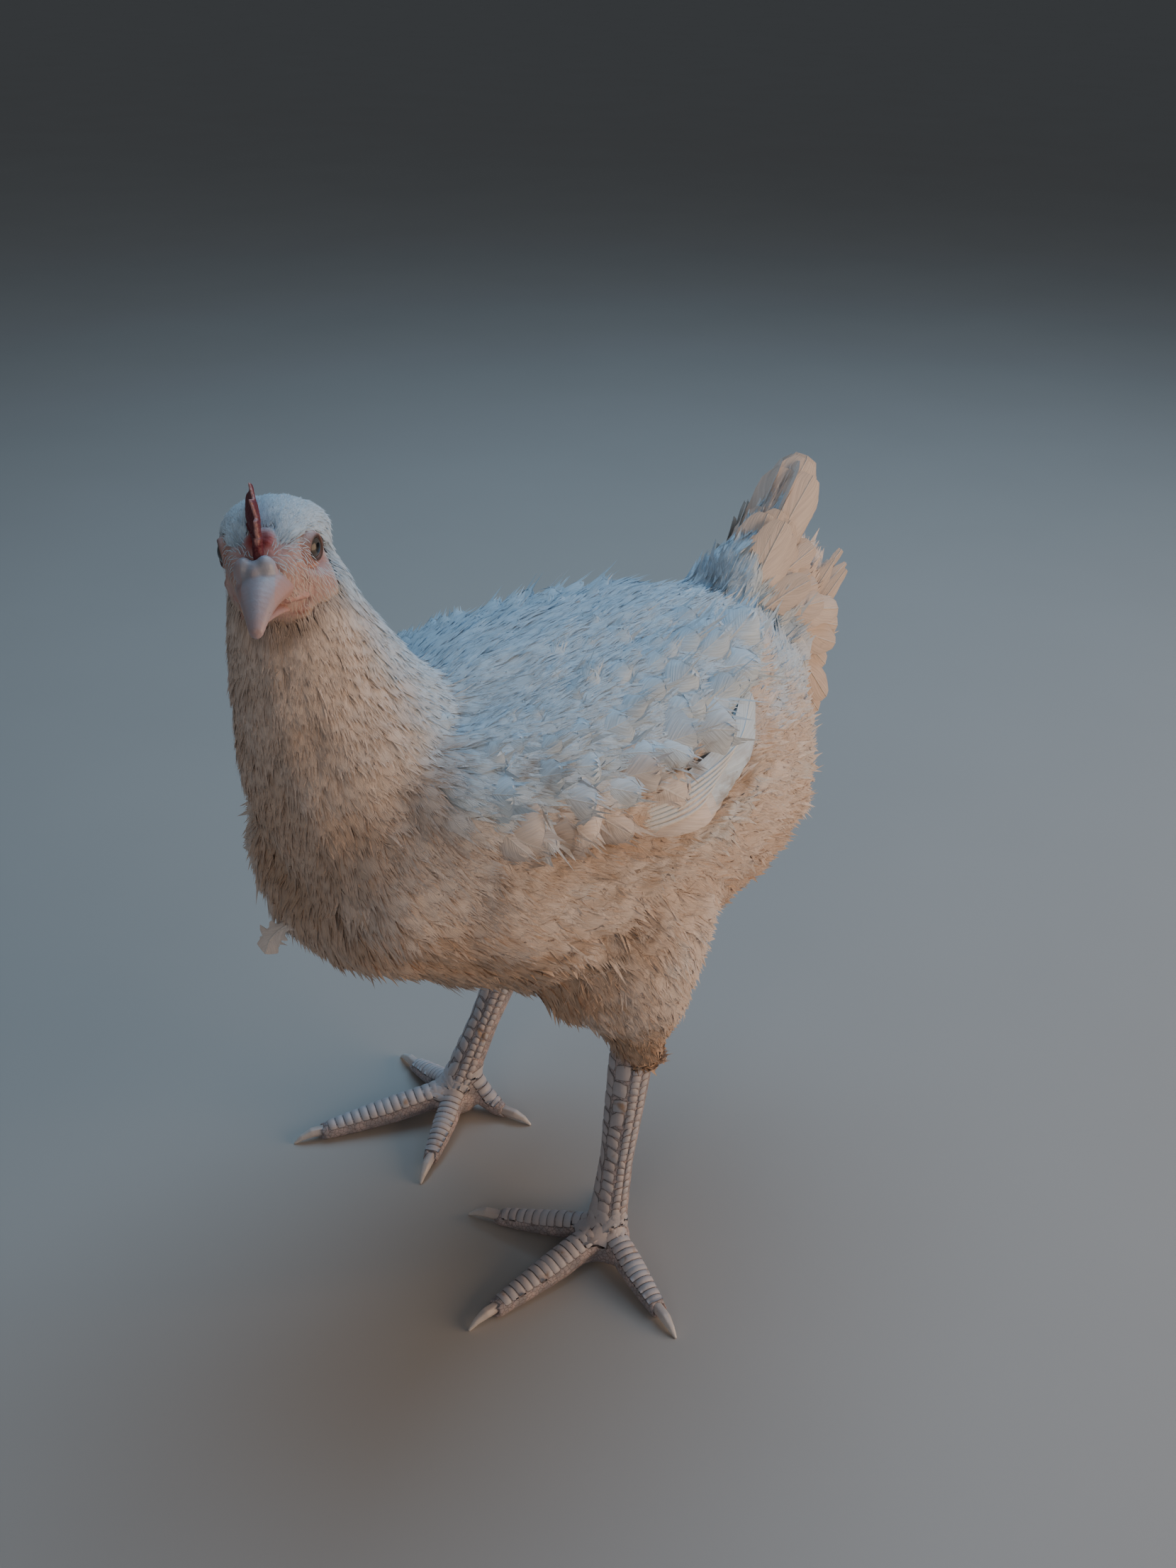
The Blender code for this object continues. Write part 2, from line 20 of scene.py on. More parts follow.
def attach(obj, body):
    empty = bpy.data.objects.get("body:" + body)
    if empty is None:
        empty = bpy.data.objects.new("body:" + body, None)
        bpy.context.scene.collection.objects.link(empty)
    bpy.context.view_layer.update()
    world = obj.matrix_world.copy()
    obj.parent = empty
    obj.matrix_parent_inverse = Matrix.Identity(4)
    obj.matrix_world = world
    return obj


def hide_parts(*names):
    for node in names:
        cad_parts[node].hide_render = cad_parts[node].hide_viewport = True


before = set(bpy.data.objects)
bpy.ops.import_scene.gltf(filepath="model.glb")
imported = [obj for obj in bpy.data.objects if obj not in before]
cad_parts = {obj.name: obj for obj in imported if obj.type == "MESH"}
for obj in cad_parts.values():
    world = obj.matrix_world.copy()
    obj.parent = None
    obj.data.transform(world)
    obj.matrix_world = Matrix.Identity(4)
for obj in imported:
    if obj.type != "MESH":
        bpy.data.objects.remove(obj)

LOG = logging.getLogger("chicken")
ROOT_BODY = "root"
SEED = 20
BAKE_MAP = "OFBake"
VANE_MAP = "Vane"
TONE = "tone"
WARMTH_AND_LIGHT = "warmth"
BAKE_PATCH = 0.003

# The body's own frame, with its middle plane at x = 0, and the head's frame, bill towards -Y.
BODY = Matrix.Translation((0.01322, -0.03685, 0.01996)) @ Matrix.Scale(0.955, 4)
HEAD = (
    BODY
    @ Matrix.Translation((0.001, -0.091, 0.2885))
    @ Matrix.Rotation(math.radians(46.5), 4, "Z")
    @ Matrix.Rotation(math.radians(8.0), 4, "X")
    @ Matrix.Rotation(math.radians(-3.5), 4, "Y")
)
SIDES = {"left": 1, "right": -1}
FLESH = ("head", "neck", "trunk", "wing_left", "wing_right", "thigh_left", "thigh_right")
LEG_NODES = ("shank_left", "shank_right", "foot_left", "foot_right")

Colour = tuple[float, float, float]
Point = tuple[float, float, float]
Rows = np.ndarray
Block = tuple[Rows, ...]
Piece = bpy.types.Object
Material = bpy.types.Material
Socket = bpy.types.NodeSocket
NO_TRIANGLES = np.zeros((0, 3), int)

# The left eye's middle and the way it looks, in the head's frame, and the root of the tail in the body's.
EYE_AT: Point = (0.0092, -0.001, 0.0012)
EYE_LOOK: Point = (1.0, -0.33, 0.05)
TAIL_AT: Point = (0.0, 0.108, 0.2)


def deselect() -> None:
    """Leaves nothing selected and no object active in an edit mode."""
    if bpy.context.object and bpy.context.object.mode != "OBJECT":
        bpy.ops.object.mode_set(mode="OBJECT")
    bpy.ops.object.select_all(action="DESELECT")


def activate(obj: Piece) -> None:
    """Makes an object the only selected and the active one.

    Args:
        obj: the object.
    """
    deselect()
    obj.select_set(True)
    bpy.context.view_layer.objects.active = obj


def apply_modifier(obj: Piece, kind: str, **settings: object) -> None:
    """Adds a modifier to obj and applies it.

    Args:
        obj: the object whose mesh changes.
        kind: the modifier's type.
        settings: the modifier's own values.
    """
    activate(obj)
    modifier = obj.modifiers.new(kind.title(), kind)
    for name, value in settings.items():
        setattr(modifier, name, value)
    bpy.ops.object.modifier_apply(modifier=modifier.name)


def settle(obj: Piece) -> None:
    """Applies the object's place, turn and size to its mesh."""
    activate(obj)
    bpy.ops.object.transform_apply(location=True, rotation=True, scale=True)


def rows_of(mesh: bpy.types.Mesh, name: str) -> Rows:
    """What a mesh says of each of its points.

    Args:
        mesh: the mesh.
        name: "co" for the coordinates or "normal" for the normal.

    Returns:
        Rows of three numbers.
    """
    found = np.empty(len(mesh.vertices) * 3, np.float32)
    mesh.vertices.foreach_get(name, found)
    return found.reshape(-1, 3).astype(float)


def coordinates(mesh: bpy.types.Mesh) -> Rows:
    """The mesh's points as an array of rows."""
    return rows_of(mesh, "co")


def normals_of(mesh: bpy.types.Mesh) -> Rows:
    """The normal at each of the mesh's points."""
    return rows_of(mesh, "normal")


def set_coordinates(mesh: bpy.types.Mesh, points: Rows) -> None:
    """Moves the mesh's points."""
    mesh.vertices.foreach_set("co", points.astype(np.float32).ravel())
    mesh.update()


def moved(matrix: Matrix, points: Rows) -> Rows:
    """Rows of points after matrix."""
    table = np.array(matrix)
    return points @ table[:3, :3].T + table[:3, 3]


def on_floor(points: Rows) -> Rows:
    """Rows of points, with those below the floor raised to it."""
    return np.maximum(points, (-np.inf, -np.inf, 0.0))


def in_head(points: Rows) -> Rows:
    """Rows of points in the head's frame."""
    return moved(HEAD.inverted(), points)


def in_body(points: Rows) -> Rows:
    """Rows of points in the body's frame."""
    return moved(BODY.inverted(), points)


def facing_in_head(directions: Rows) -> Rows:
    """Rows of directions in the head's frame, at unit length."""
    return unit(directions @ np.array(HEAD.inverted())[:3, :3].T)


def mirrored(place: Point, side: int) -> Point:
    """A place or direction of the left side, or its reflection with side -1."""
    return (place[0] * side, place[1], place[2])


def folded(points: Rows) -> Rows:
    """Rows of points with the right side folded over onto the left."""
    return np.concatenate([np.abs(points[:, :1]), points[:, 1:]], 1)


def ramp(gap: Rows, span: float) -> Rows:
    """A share that rises evenly from 0 where gap is 0 to 1 where it is span."""
    return np.clip(gap / span, 0, 1)


def eased(share: Rows) -> Rows:
    """A share with a soft start and end."""
    return share * share * (3 - 2 * share)


def fade(gap: Rows, soft: float) -> Rows:
    """A share that falls smoothly from 1 to 0 as gap passes 0, over a few times soft."""
    return 1 / (1 + np.exp(gap / soft))


def ripple(gap: Rows, wide: float) -> Rows:
    """A share of 1 where gap is 0, fading on both sides over wide."""
    return np.exp(-((gap / wide) ** 2))


def lengths_of(rows: Rows) -> Rows:
    """The length of each row."""
    return np.linalg.norm(rows, axis=1)


def unit(rows: Rows) -> Rows:
    """Rows at unit length."""
    return rows / np.maximum(np.linalg.norm(rows, axis=-1, keepdims=True), 1e-12)


def linked(name: str, data: bpy.types.ID) -> Piece:
    """A new object in the scene.

    Args:
        name: its name.
        data: the mesh, camera or light that it holds.

    Returns:
        The object.
    """
    made = bpy.data.objects.new(name, data)
    bpy.context.scene.collection.objects.link(made)
    return made


def smoothed(obj: Piece, rounds: int, group: str = "") -> None:
    """Smooths obj, or only its group of points."""
    apply_modifier(obj, "SMOOTH", factor=0.5, iterations=rounds, vertex_group=group)


def remeshed(obj: Piece, voxel: float, rounds: int) -> None:
    """Makes the solids in obj one closed smooth surface.

    Args:
        obj: the object whose mesh changes.
        voxel: the size of its new faces.
        rounds: how often it is smoothed.
    """
    apply_modifier(obj, "REMESH", mode="VOXEL", voxel_size=voxel, use_smooth_shade=True)
    smoothed(obj, rounds)


def grid_quads(rows: int, columns: int) -> Rows:
    """The faces of a grid whose points are numbered row by row.

    Args:
        rows: faces along the grid.
        columns: faces across it.

    Returns:
        Rows of four point numbers.
    """
    wide = columns + 1
    first = [row * wide + column for row in range(rows) for column in range(columns)]
    return np.array([(i, i + 1, i + wide + 1, i + wide) for i in first])


def ball(radii: Point, place: Point = (0.0, 0.0, 0.0)) -> Piece:
    """An ellipsoid.

    Args:
        radii: its size along each axis.
        place: its middle.

    Returns:
        The object.
    """
    deselect()
    bpy.ops.mesh.primitive_uv_sphere_add(segments=24, ring_count=16, radius=1.0, location=place)
    made = bpy.context.object
    made.scale = radii
    settle(made)
    return made


def object_of(name: str, points: Rows, quads: Rows, triangles: Rows) -> Piece:
    """A smooth-shaded mesh object from arrays.

    Args:
        name: the object's name.
        points: rows of coordinates.
        quads: rows of four point numbers.
        triangles: rows of three point numbers.

    Returns:
        The object, linked to the scene.
    """
    mesh = bpy.data.meshes.new(name)
    mesh.vertices.add(len(points))
    mesh.vertices.foreach_set("co", points.astype(np.float32).ravel())
    corners = np.concatenate([quads.ravel(), triangles.ravel()]).astype(np.int32)
    turns = quads.size
    starts = np.concatenate([np.arange(0, turns, 4), turns + np.arange(0, triangles.size, 3)])
    mesh.loops.add(len(corners))
    mesh.loops.foreach_set("vertex_index", corners)
    mesh.polygons.add(len(starts))
    mesh.polygons.foreach_set("loop_start", starts.astype(np.int32))
    mesh.update(calc_edges=True)
    mesh.shade_smooth()
    return linked(name, mesh)


def store(obj: Piece, name: str, values: Rows) -> None:
    """Stores a number on each of the object's points."""
    made = obj.data.attributes.new(name, "FLOAT", "POINT")
    made.data.foreach_set("value", values.astype(np.float32))


def join_feathers(name: str, blocks: list[Block]) -> Piece:
    """Joins blocks of feathers into one object with its maps and tones.

    Args:
        name: the object's name.
        blocks: for each its points, quads, triangles, places on both maps, tones, and warmth with painted
            light.

    Returns:
        The object.
    """
    starts = np.cumsum([0] + [len(block[0]) for block in blocks[:-1]])
    points, vane, bake, tone, warmth = (np.concatenate([b[i] for b in blocks]) for i in (0, 3, 4, 5, 6))
    quads, triangles = (np.concatenate([b[i] + start for b, start in zip(blocks, starts)]) for i in (1, 2))
    made = object_of(name, points, quads, triangles)
    corners = np.concatenate([quads.ravel(), triangles.ravel()])
    for layer, values in ((VANE_MAP, vane), (BAKE_MAP, bake)):
        places = values[corners].astype(np.float32).ravel()
        made.data.uv_layers.new(name=layer).data.foreach_set("uv", places)
    store(made, TONE, tone)
    store(made, WARMTH_AND_LIGHT, warmth)
    return made


def copy_of(name: str, nodes: tuple[str, ...], growth: float) -> Piece:
    """One object holding welded copies of several solids, each grown a little so that they overlap.

    Args:
        name: the new object's name.
        nodes: the solids to copy.
        growth: how far each surface moves outwards.

    Returns:
        The object, linked to the scene.
    """
    whole = bmesh.new()
    for node in nodes:
        part = bmesh.new()
        part.from_mesh(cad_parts[node].data)
        bmesh.ops.remove_doubles(part, verts=part.verts, dist=1e-5)
        part.normal_update()
        for vert, normal in [(v, v.normal.copy()) for v in part.verts]:
            vert.co += normal * growth
        held = bpy.data.meshes.new("held")
        part.to_mesh(held)
        part.free()
        whole.from_mesh(held)
        bpy.data.meshes.remove(held)
    mesh = bpy.data.meshes.new(name)
    whole.to_mesh(mesh)
    whole.free()
    return linked(name, mesh)


def finish_piece(
    piece: Piece, material: Material, slot: str, *replaced: str
) -> Piece:
    """Dresses a piece, lets it ride on the body and hides the solids that it stands for.

    Args:
        piece: the finished piece.
        material: its only material.
        slot: not used.
        replaced: the solids that it stands for.

    Returns:
        The piece.
    """
    piece.data.materials.clear()
    piece.data.materials.append(material)
    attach(piece, ROOT_BODY)
    if replaced:
        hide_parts(*replaced)
    piece.data.calc_loop_triangles()
    LOG.info("%s: %d triangles", piece.name, len(piece.data.loop_triangles))
    return piece


class Surface:
    """A closed mesh that can be asked for its nearest point and smooth normal."""

    def __init__(self, obj: Piece) -> None:
        """Reads the mesh of obj.

        Args:
            obj: an object whose place is in its mesh.
        """
        mesh = obj.data
        self.points = coordinates(mesh)
        mesh.calc_loop_triangles()
        table = np.empty(len(mesh.loop_triangles) * 3, np.int32)
        mesh.loop_triangles.foreach_get("vertices", table)
        self.triangles = table.reshape(-1, 3)
        self.face_normals = unit(normals_of(mesh)[self.triangles].sum(1))
        self.tree = BVHTree.FromPolygons(self.points.tolist(), self.triangles.tolist())

    def nearest(self, points: Rows) -> tuple[Rows, Rows]:
        """The nearest place on the surface for each point.

        Args:
            points: rows of coordinates.

        Returns:
            The places and the smooth normals there.
        """
        places = np.empty_like(points)
        faces = np.empty(len(points), int)
        for i, point in enumerate(points):
            places[i], _, faces[i], _ = self.tree.find_nearest(point)
        return places, self.face_normals[faces]


def spread_out(points: Rows, spacing: Rows) -> Rows:
    """Thins points so that no two kept ones are nearer than their spacing.

    Args:
        points: rows of coordinates, in the order in which they are tried.
        spacing: the least distance to a neighbour at each point.

    Returns:
        The numbers of the kept points.
    """
    cell = float(spacing.max())
    keys = np.floor(points / cell).astype(int)
    grid: dict[tuple[int, int, int], list[int]] = {}
    kept = []
    steps = [(i, j, k) for i in (-1, 0, 1) for j in (-1, 0, 1) for k in (-1, 0, 1)]
    for number, (key, point) in enumerate(zip(keys.tolist(), points.tolist())):
        near = spacing[number] ** 2
        x, y, z = point
        clear = True
        for i, j, k in steps:
            for other in grid.get((key[0] + i, key[1] + j, key[2] + k), ()):
                ox, oy, oz = points[other]
                if (x - ox) ** 2 + (y - oy) ** 2 + (z - oz) ** 2 < near:
                    clear = False
                    break
            if not clear:
                break
        if clear:
            grid.setdefault(tuple(key), []).append(number)
            kept.append(number)
    return np.array(kept, int)


class Tree:
    """A material's nodes, added and linked in one step each."""

    def __init__(self, name: str) -> None:
        """Starts a material with a Principled shader.

        Args:
            name: the material's name.
        """
        self.material = bpy.data.materials.new(name)
        self.material.use_nodes = True
        self.nodes = self.material.node_tree.nodes
        self.links = self.material.node_tree.links
        self.shader = self.nodes["Principled BSDF"]

    def add(self, kind: str, inputs: dict | None = None, **settings: object) -> bpy.types.Node:
        """Adds a node.

        Args:
            kind: the node's type, without its ShaderNode prefix.
            inputs: values or other nodes' outputs for its sockets, by name or number.
            settings: the node's own values.

        Returns:
            The node.
        """
        node = self.nodes.new("ShaderNode" + kind)
        for name, value in settings.items():
            setattr(node, name, value)
        for name, value in (inputs or {}).items():
            self.feed(node.inputs[name], value)
        return node

    def feed(self, socket: Socket, value: object) -> None:
        """Links or sets a socket.

        Args:
            socket: the socket.
            value: an output to link, or a plain value.
        """
        if isinstance(value, Socket):
            self.links.new(value, socket)
        elif isinstance(value, (tuple, list)) and len(value) == 3 and socket.type == "RGBA":
            socket.default_value = (*value, 1.0)
        else:
            socket.default_value = value

    def place(self) -> Socket:
        """Object coordinates."""
        return self.add("TexCoord").outputs["Object"]

    def attribute(self, name: str) -> Socket:
        """A number stored on the mesh."""
        return self.add("Attribute", attribute_name=name).outputs["Fac"]

    def math(self, operation: str, a: object, b: object = 0.0, clamp: bool = False) -> Socket:
        """One step of arithmetic.

        Args:
            operation: the Math node's operation.
            a: the first value or output.
            b: the second value or output.
            clamp: whether the result is kept from 0 to 1.

        Returns:
            The result.
        """
        return self.add("Math", {0: a, 1: b}, operation=operation, use_clamp=clamp).outputs[0]

    def times(self, a: object, b: object) -> Socket:
        """The product of two values or outputs."""
        return self.math("MULTIPLY", a, b)

    def plus(self, a: object, b: object) -> Socket:
        """The sum of two values or outputs."""
        return self.math("ADD", a, b)

    def minus(self, a: object, b: object) -> Socket:
        """The first value or output less the second."""
        return self.math("SUBTRACT", a, b)

    def clouds(self, scale: float, detail: float = 3.0, stretch: Point | None = None) -> Socket:
        """A noise over Object coordinates, from 0 to 1.

        Args:
            scale: waves for each metre.
            detail: octaves.
            stretch: a scale for each axis first.

        Returns:
            The noise.
        """
        place = self.place()
        if stretch:
            place = self.add("Mapping", {"Vector": place, "Scale": stretch}).outputs[0]
        return self.add("TexNoise", {"Vector": place, "Scale": scale, "Detail": detail}).outputs[0]

    def mix(self, share: object, a: object, b: object, blend: str = "MIX") -> Socket:
        """A mix of two colours.

        Args:
            share: how much of b shows.
            a: the first colour or output.
            b: the second colour or output.
            blend: the blend type.

        Returns:
            The mixed colour.
        """
        node = self.add("Mix", data_type="RGBA", blend_type=blend, clamp_factor=True)
        self.feed(node.inputs[0], share)
        self.feed(node.inputs[6], a)
        self.feed(node.inputs[7], b)
        return node.outputs[2]

    def band(self, value: object, low: float, high: float) -> Socket:
        """A smooth step from 0 to 1.

        Args:
            value: the value or output.
            low: where the step starts.
            high: where it ends.

        Returns:
            The share.
        """
        limits = {"Value": value, "From Min": low, "From Max": high}
        return self.add("MapRange", limits, interpolation_type="SMOOTHSTEP").outputs[0]

    def bump(self, height: object, strength: float, distance: float) -> None:
        """Gives the shader a bump.

        Args:
            height: the height's output.
            strength: the Bump node's strength.
            distance: the height in metres that 1 stands for.
        """
        node = self.add("Bump", {"Height": height, "Strength": strength, "Distance": distance})
        self.links.new(node.outputs[0], self.shader.inputs["Normal"])

    def finish(self, **values: object) -> Material:
        """Sets the shader's sockets.

        Args:
            values: values or outputs by socket name, with _ for a blank.

        Returns:
            The material.
        """
        for name, value in values.items():
            self.feed(self.shader.inputs[name.replace("_", " ")], value)
        return self.material


@dataclass(frozen=True)
class SoilAndShade:
    """A brown patch on the plumage, soil and painted shade: its middle and radii in the body's frame, and how
    much.
    """

    at: Point
    radii: Point
    depth: float


# Brown patches: soil on the wing, breast and thighs, and painted shade below the wing's edge and under the
# belly.
SOIL_AND_SHADE = (
    SoilAndShade((0.0605, 0.012, 0.2), (0.009, 0.022, 0.006), 0.8),
    SoilAndShade((0.0512, -0.034, 0.2155), (0.009, 0.01, 0.005), 0.5),
    SoilAndShade((0.058, -0.03, 0.188), (0.012, 0.028, 0.008), 0.55),
    SoilAndShade((0.0139, -0.0977, 0.2715), (0.01, 0.01, 0.007), 0.45),
    SoilAndShade((0.06, 0.04, 0.186), (0.008, 0.014, 0.006), 0.8),
    SoilAndShade((0.062, 0.01, 0.172), (0.012, 0.04, 0.012), 0.6),
    SoilAndShade((0.06, 0.045, 0.185), (0.012, 0.022, 0.01), 0.75),
    SoilAndShade((0.058, -0.02, 0.14), (0.018, 0.04, 0.016), 0.5),
    SoilAndShade((0.04, -0.06, 0.13), (0.03, 0.03, 0.022), 0.38),
    SoilAndShade((0.0, 0.02, 0.1), (0.06, 0.07, 0.014), 0.4),
    SoilAndShade((0.045, 0.004, 0.09), (0.022, 0.024, 0.026), 0.55),
    SoilAndShade((-0.052, 0.045, 0.085), (0.022, 0.024, 0.026), 0.55),
    SoilAndShade((-0.06, 0.02, 0.165), (0.014, 0.04, 0.018), 0.55),
    SoilAndShade((0.0, 0.16, 0.18), (0.02, 0.03, 0.03), 0.22),
)


@dataclass(frozen=True)
class Plumage:
    """White feathers: cool with painted skylight on top, warmer at the sides with painted bounce light and
    shade over their cream tone, and soiled by ground and litter in patches that also carry painted shade.
    """

    # painted skylight: the blue white of feathers that face up
    clean: Colour = (0.66, 0.79, 0.9)
    plain: Colour = (0.82, 0.71, 0.64)
    # the feathers' cream tone with painted warm bounce light and shade
    warm: Colour = (0.64, 0.455, 0.33)
    # the brown of soil, also used as painted shade below the wing and belly
    soil_and_shade: Colour = (0.3, 0.19, 0.11)
    fleck: Colour = (0.09, 0.05, 0.03)
    shaft: Colour = (0.93, 0.91, 0.87)
    roughness: float = 0.62
    barbs: float = 30.0

    def markings(self, tree: Tree) -> Socket:
        """The colour shared by coat and skin.

        Args:
            tree: the material being made.

        Returns:
            The colour.
        """
        place = tree.place()
        patchy = tree.times(tree.clouds(55.0, 3.0), 0.24)
        # painted light: skylight blue where the stored share is low, cream white between, warm bounce light
        # and shade where it is high
        warmth = tree.minus(tree.plus(tree.attribute(WARMTH_AND_LIGHT), patchy), 0.12)
        colour = tree.mix(tree.band(warmth, 0.05, 0.5), self.clean, self.plain)
        colour = tree.mix(tree.band(warmth, 0.5, 1.05), colour, self.warm)
        worst = None
        for soil_and_shade_patch in SOIL_AND_SHADE:
            at = BODY @ Vector(soil_and_shade_patch.at)
            scale = tuple(1.0 / (radius * BODY.median_scale) for radius in soil_and_shade_patch.radii)
            near = tree.add("VectorMath", {0: place, 1: tuple(at)}, operation="SUBTRACT").outputs[0]
            near = tree.add("VectorMath", {0: near, 1: scale}, operation="MULTIPLY").outputs[0]
            far = tree.add("VectorMath", {0: near}, operation="LENGTH").outputs["Value"]
            here = tree.times(tree.band(far, 1.6, 0.35), soil_and_shade_patch.depth)
            worst = here if worst is None else tree.math("MAXIMUM", worst, here)
        streaks = tree.band(tree.clouds(170.0, 5.0, (1.6, 0.6, 1.0)), 0.38, 0.66)
        flecks = tree.band(tree.clouds(300.0, 2.0, (1.0, 0.45, 1.0)), 0.67, 0.73)
        # soil and painted shade where the patches lie, broken into streaks
        colour = tree.mix(tree.math("MULTIPLY", worst, streaks, clamp=True), colour, self.soil_and_shade)
        return tree.mix(tree.times(flecks, worst), colour, self.fleck)

    def coat(
        self, name: str = "plumage_coat", contrast: float = 1.0, shafts: float = 0.15
    ) -> Material:
        """The material of the feathers: barbs run out from the shaft on the vane's own map.

        Args:
            name: the material's name.
            contrast: how dark the painted shade at the feather's root is.
            shafts: how much the pale shafts show.

        Returns:
            The material.
        """
        tree = Tree(name)
        vane = tree.add("UVMap", uv_map=VANE_MAP).outputs[0]
        split = tree.add("SeparateXYZ", {0: vane})
        side = tree.math("ABSOLUTE", tree.minus(split.outputs[0], 0.5))
        run = tree.minus(split.outputs[1], tree.times(side, 0.8))
        tone = tree.attribute(TONE)
        axes = {0: tree.times(run, self.barbs), 1: tree.times(side, 2.5), 2: tree.times(tone, 97.0)}
        strand = tree.add("CombineXYZ", axes).outputs[0]
        streak = tree.add("TexNoise", {"Vector": strand, "Scale": 1.0, "Detail": 3.0}).outputs[0]
        streak = tree.minus(streak, 0.5)
        shaft = tree.band(side, 0.03, 0.0)
        # painted shade: darker at each feather's root, where the feathers above cover it, and a little along
        # its thin edges
        root_shade = tree.band(split.outputs[1], 0.8, 0.05)
        edge_shade = tree.band(side, 0.3, 0.52)
        dark = tree.plus(tree.times(root_shade, 0.08 * contrast), tree.times(edge_shade, 0.06))
        light = tree.plus(tree.minus(1.0, dark), tree.times(tree.minus(tone, 0.5), 0.16))
        light = tree.plus(light, tree.times(streak, 0.6))
        grey = tree.add("CombineXYZ", {0: light, 1: light, 2: light}).outputs[0]
        colour = tree.mix(1.0, self.markings(tree), grey, "MULTIPLY")
        colour = tree.mix(tree.times(shaft, shafts), colour, self.shaft)
        tree.bump(tree.plus(tree.times(streak, 2.0), shaft), 0.45, 0.0003)
        return tree.finish(
            Base_Color=colour,
            Roughness=self.roughness,
            Sheen_Weight=0.2,
            Sheen_Roughness=0.5,
            Specular_IOR_Level=0.25,
        )


@dataclass(frozen=True)
class Flesh:
    """Bare and feathered skin: pale pink, redder by the eyes, mouth and comb, scaly grey pink on the legs."""

    pale: Colour = (0.6, 0.42, 0.39)
    blush: Colour = (0.58, 0.24, 0.19)
    wound: Colour = (0.33, 0.045, 0.045)
    leg: Colour = (0.37, 0.345, 0.37)
    groove: Colour = (0.12, 0.085, 0.075)

    def skin(self, plumage: Plumage) -> Material:
        """The material of the one skin.

        Args:
            plumage: the coat, whose markings the skin carries where it is feathered.

        Returns:
            The material.
        """
        tree = Tree("skin")
        grain = tree.clouds(1500.0, 4.0)
        veins = tree.clouds(420.0, 5.0)
        pink = tree.mix(tree.times(veins, 0.22), self.pale, self.blush)
        pink = tree.mix(tree.times(tree.band(veins, 0.62, 0.4), 0.5), pink, (0.66, 0.5, 0.47))
        blush = tree.times(tree.attribute("blush"), tree.band(veins, 0.15, 0.55))
        colour = tree.mix(blush, pink, self.blush)
        colour = tree.mix(tree.attribute("wound"), colour, self.wound)
        colour = tree.mix(tree.attribute("shade"), colour, (0.065, 0.038, 0.036))
        leg = tree.mix(tree.band(tree.clouds(260.0, 4.0), 0.35, 0.7), self.leg, (0.6, 0.5, 0.5))
        grid = {"Vector": tree.place(), "Scale": 620.0}
        cells = tree.add("TexVoronoi", grid, feature="DISTANCE_TO_EDGE").outputs[0]
        edges = tree.band(cells, 0.1, 0.0)
        leg = tree.mix(tree.times(edges, 0.55), leg, self.groove)
        colour = tree.mix(tree.attribute("leg"), colour, leg)
        feathered = tree.attribute("feathered")
        colour = tree.mix(feathered, colour, plumage.markings(tree))
        relief = tree.minus(grain, tree.times(edges, tree.attribute("leg")))
        tree.bump(relief, 0.35, 0.0004)
        return tree.finish(
            Base_Color=colour,
            Roughness=0.55,
            Subsurface_Weight=0.12,
            Subsurface_Radius=(0.006, 0.002, 0.001),
            Subsurface_Scale=0.5,
            Specular_IOR_Level=0.35,
        )

    def comb(self) -> Material:
        """The comb and wattles: darker and bluish at the root, with painted shade on faces turned to the
        sides and painted light along the pale edge.

        Returns:
            The material.
        """
        tree = Tree("comb_flesh")
        place = tree.place()
        rise = tree.attribute("rise")
        veins = tree.clouds(700.0, 5.0)
        pores = tree.add("TexVoronoi", {"Vector": place, "Scale": 1500.0}).outputs[0]
        low = tree.mix(veins, (0.1, 0.012, 0.022), (0.2, 0.035, 0.05))
        high = tree.mix(veins, (0.5, 0.21, 0.21), (0.63, 0.38, 0.36))
        colour = tree.mix(tree.band(rise, 0.1, 1.05), low, high)
        tree.bump(tree.plus(pores, veins), 0.5, 0.0004)
        return tree.finish(
            Base_Color=colour, Roughness=0.5, Subsurface_Weight=0.1, Subsurface_Radius=(0.004, 0.001, 0.001)
        )


@dataclass(frozen=True)
class Horn:
    """Horn: colour at the root, colour at the tip, and how glossy it is."""

    name: str
    root: Colour
    tip: Colour
    roughness: float

    def material(self) -> Material:
        """Growth lines and fine scratches over a fade along the stored reach.

        Returns:
            The material.
        """
        tree = Tree(self.name)
        reach = tree.attribute("reach")
        cloudy = tree.clouds(330.0, 4.0)
        lines = tree.math("SINE", tree.times(cloudy, 36.0))
        share = tree.math("ADD", reach, tree.times(tree.minus(cloudy, 0.5), 0.5), clamp=True)
        colour = tree.mix(share, self.root, self.tip)
        colour = tree.mix(tree.band(tree.clouds(900.0, 4.0), 0.66, 0.8), colour, (0.34, 0.26, 0.23))
        tree.bump(tree.plus(lines, tree.clouds(2500.0, 2.0)), 0.07, 0.0002)
        return tree.finish(Base_Color=colour, Roughness=self.roughness, Specular_IOR_Level=0.5)


@dataclass(frozen=True)
class EyeFinish:
    """A wet eye: black pupil, grey brown iris with a dark rim. The look axis is stored on the mesh."""

    iris: Colour = (0.045, 0.043, 0.042)
    ring: Colour = (0.125, 0.115, 0.105)
    pupil_at: float = 0.25
    iris_at: float = 0.56

    def material(self) -> Material:
        """The eye's material, by the stored distance from the look axis.

        Returns:
            The material.
        """
        tree = Tree("eye_wet")
        far = tree.attribute("look")
        fibres = tree.clouds(2600.0, 4.0)
        iris = tree.mix(fibres, self.iris, self.ring)
        colour = tree.mix(tree.band(far, self.pupil_at, self.pupil_at + 0.05), (0.004, 0.004, 0.005), iris)
        colour = tree.mix(tree.band(far, self.iris_at - 0.06, self.iris_at), colour, (0.05, 0.035, 0.03))
        return tree.finish(
            Base_Color=colour, Roughness=0.22, Coat_Weight=0.3, Coat_Roughness=0.03, Specular_IOR_Level=0.3
        )


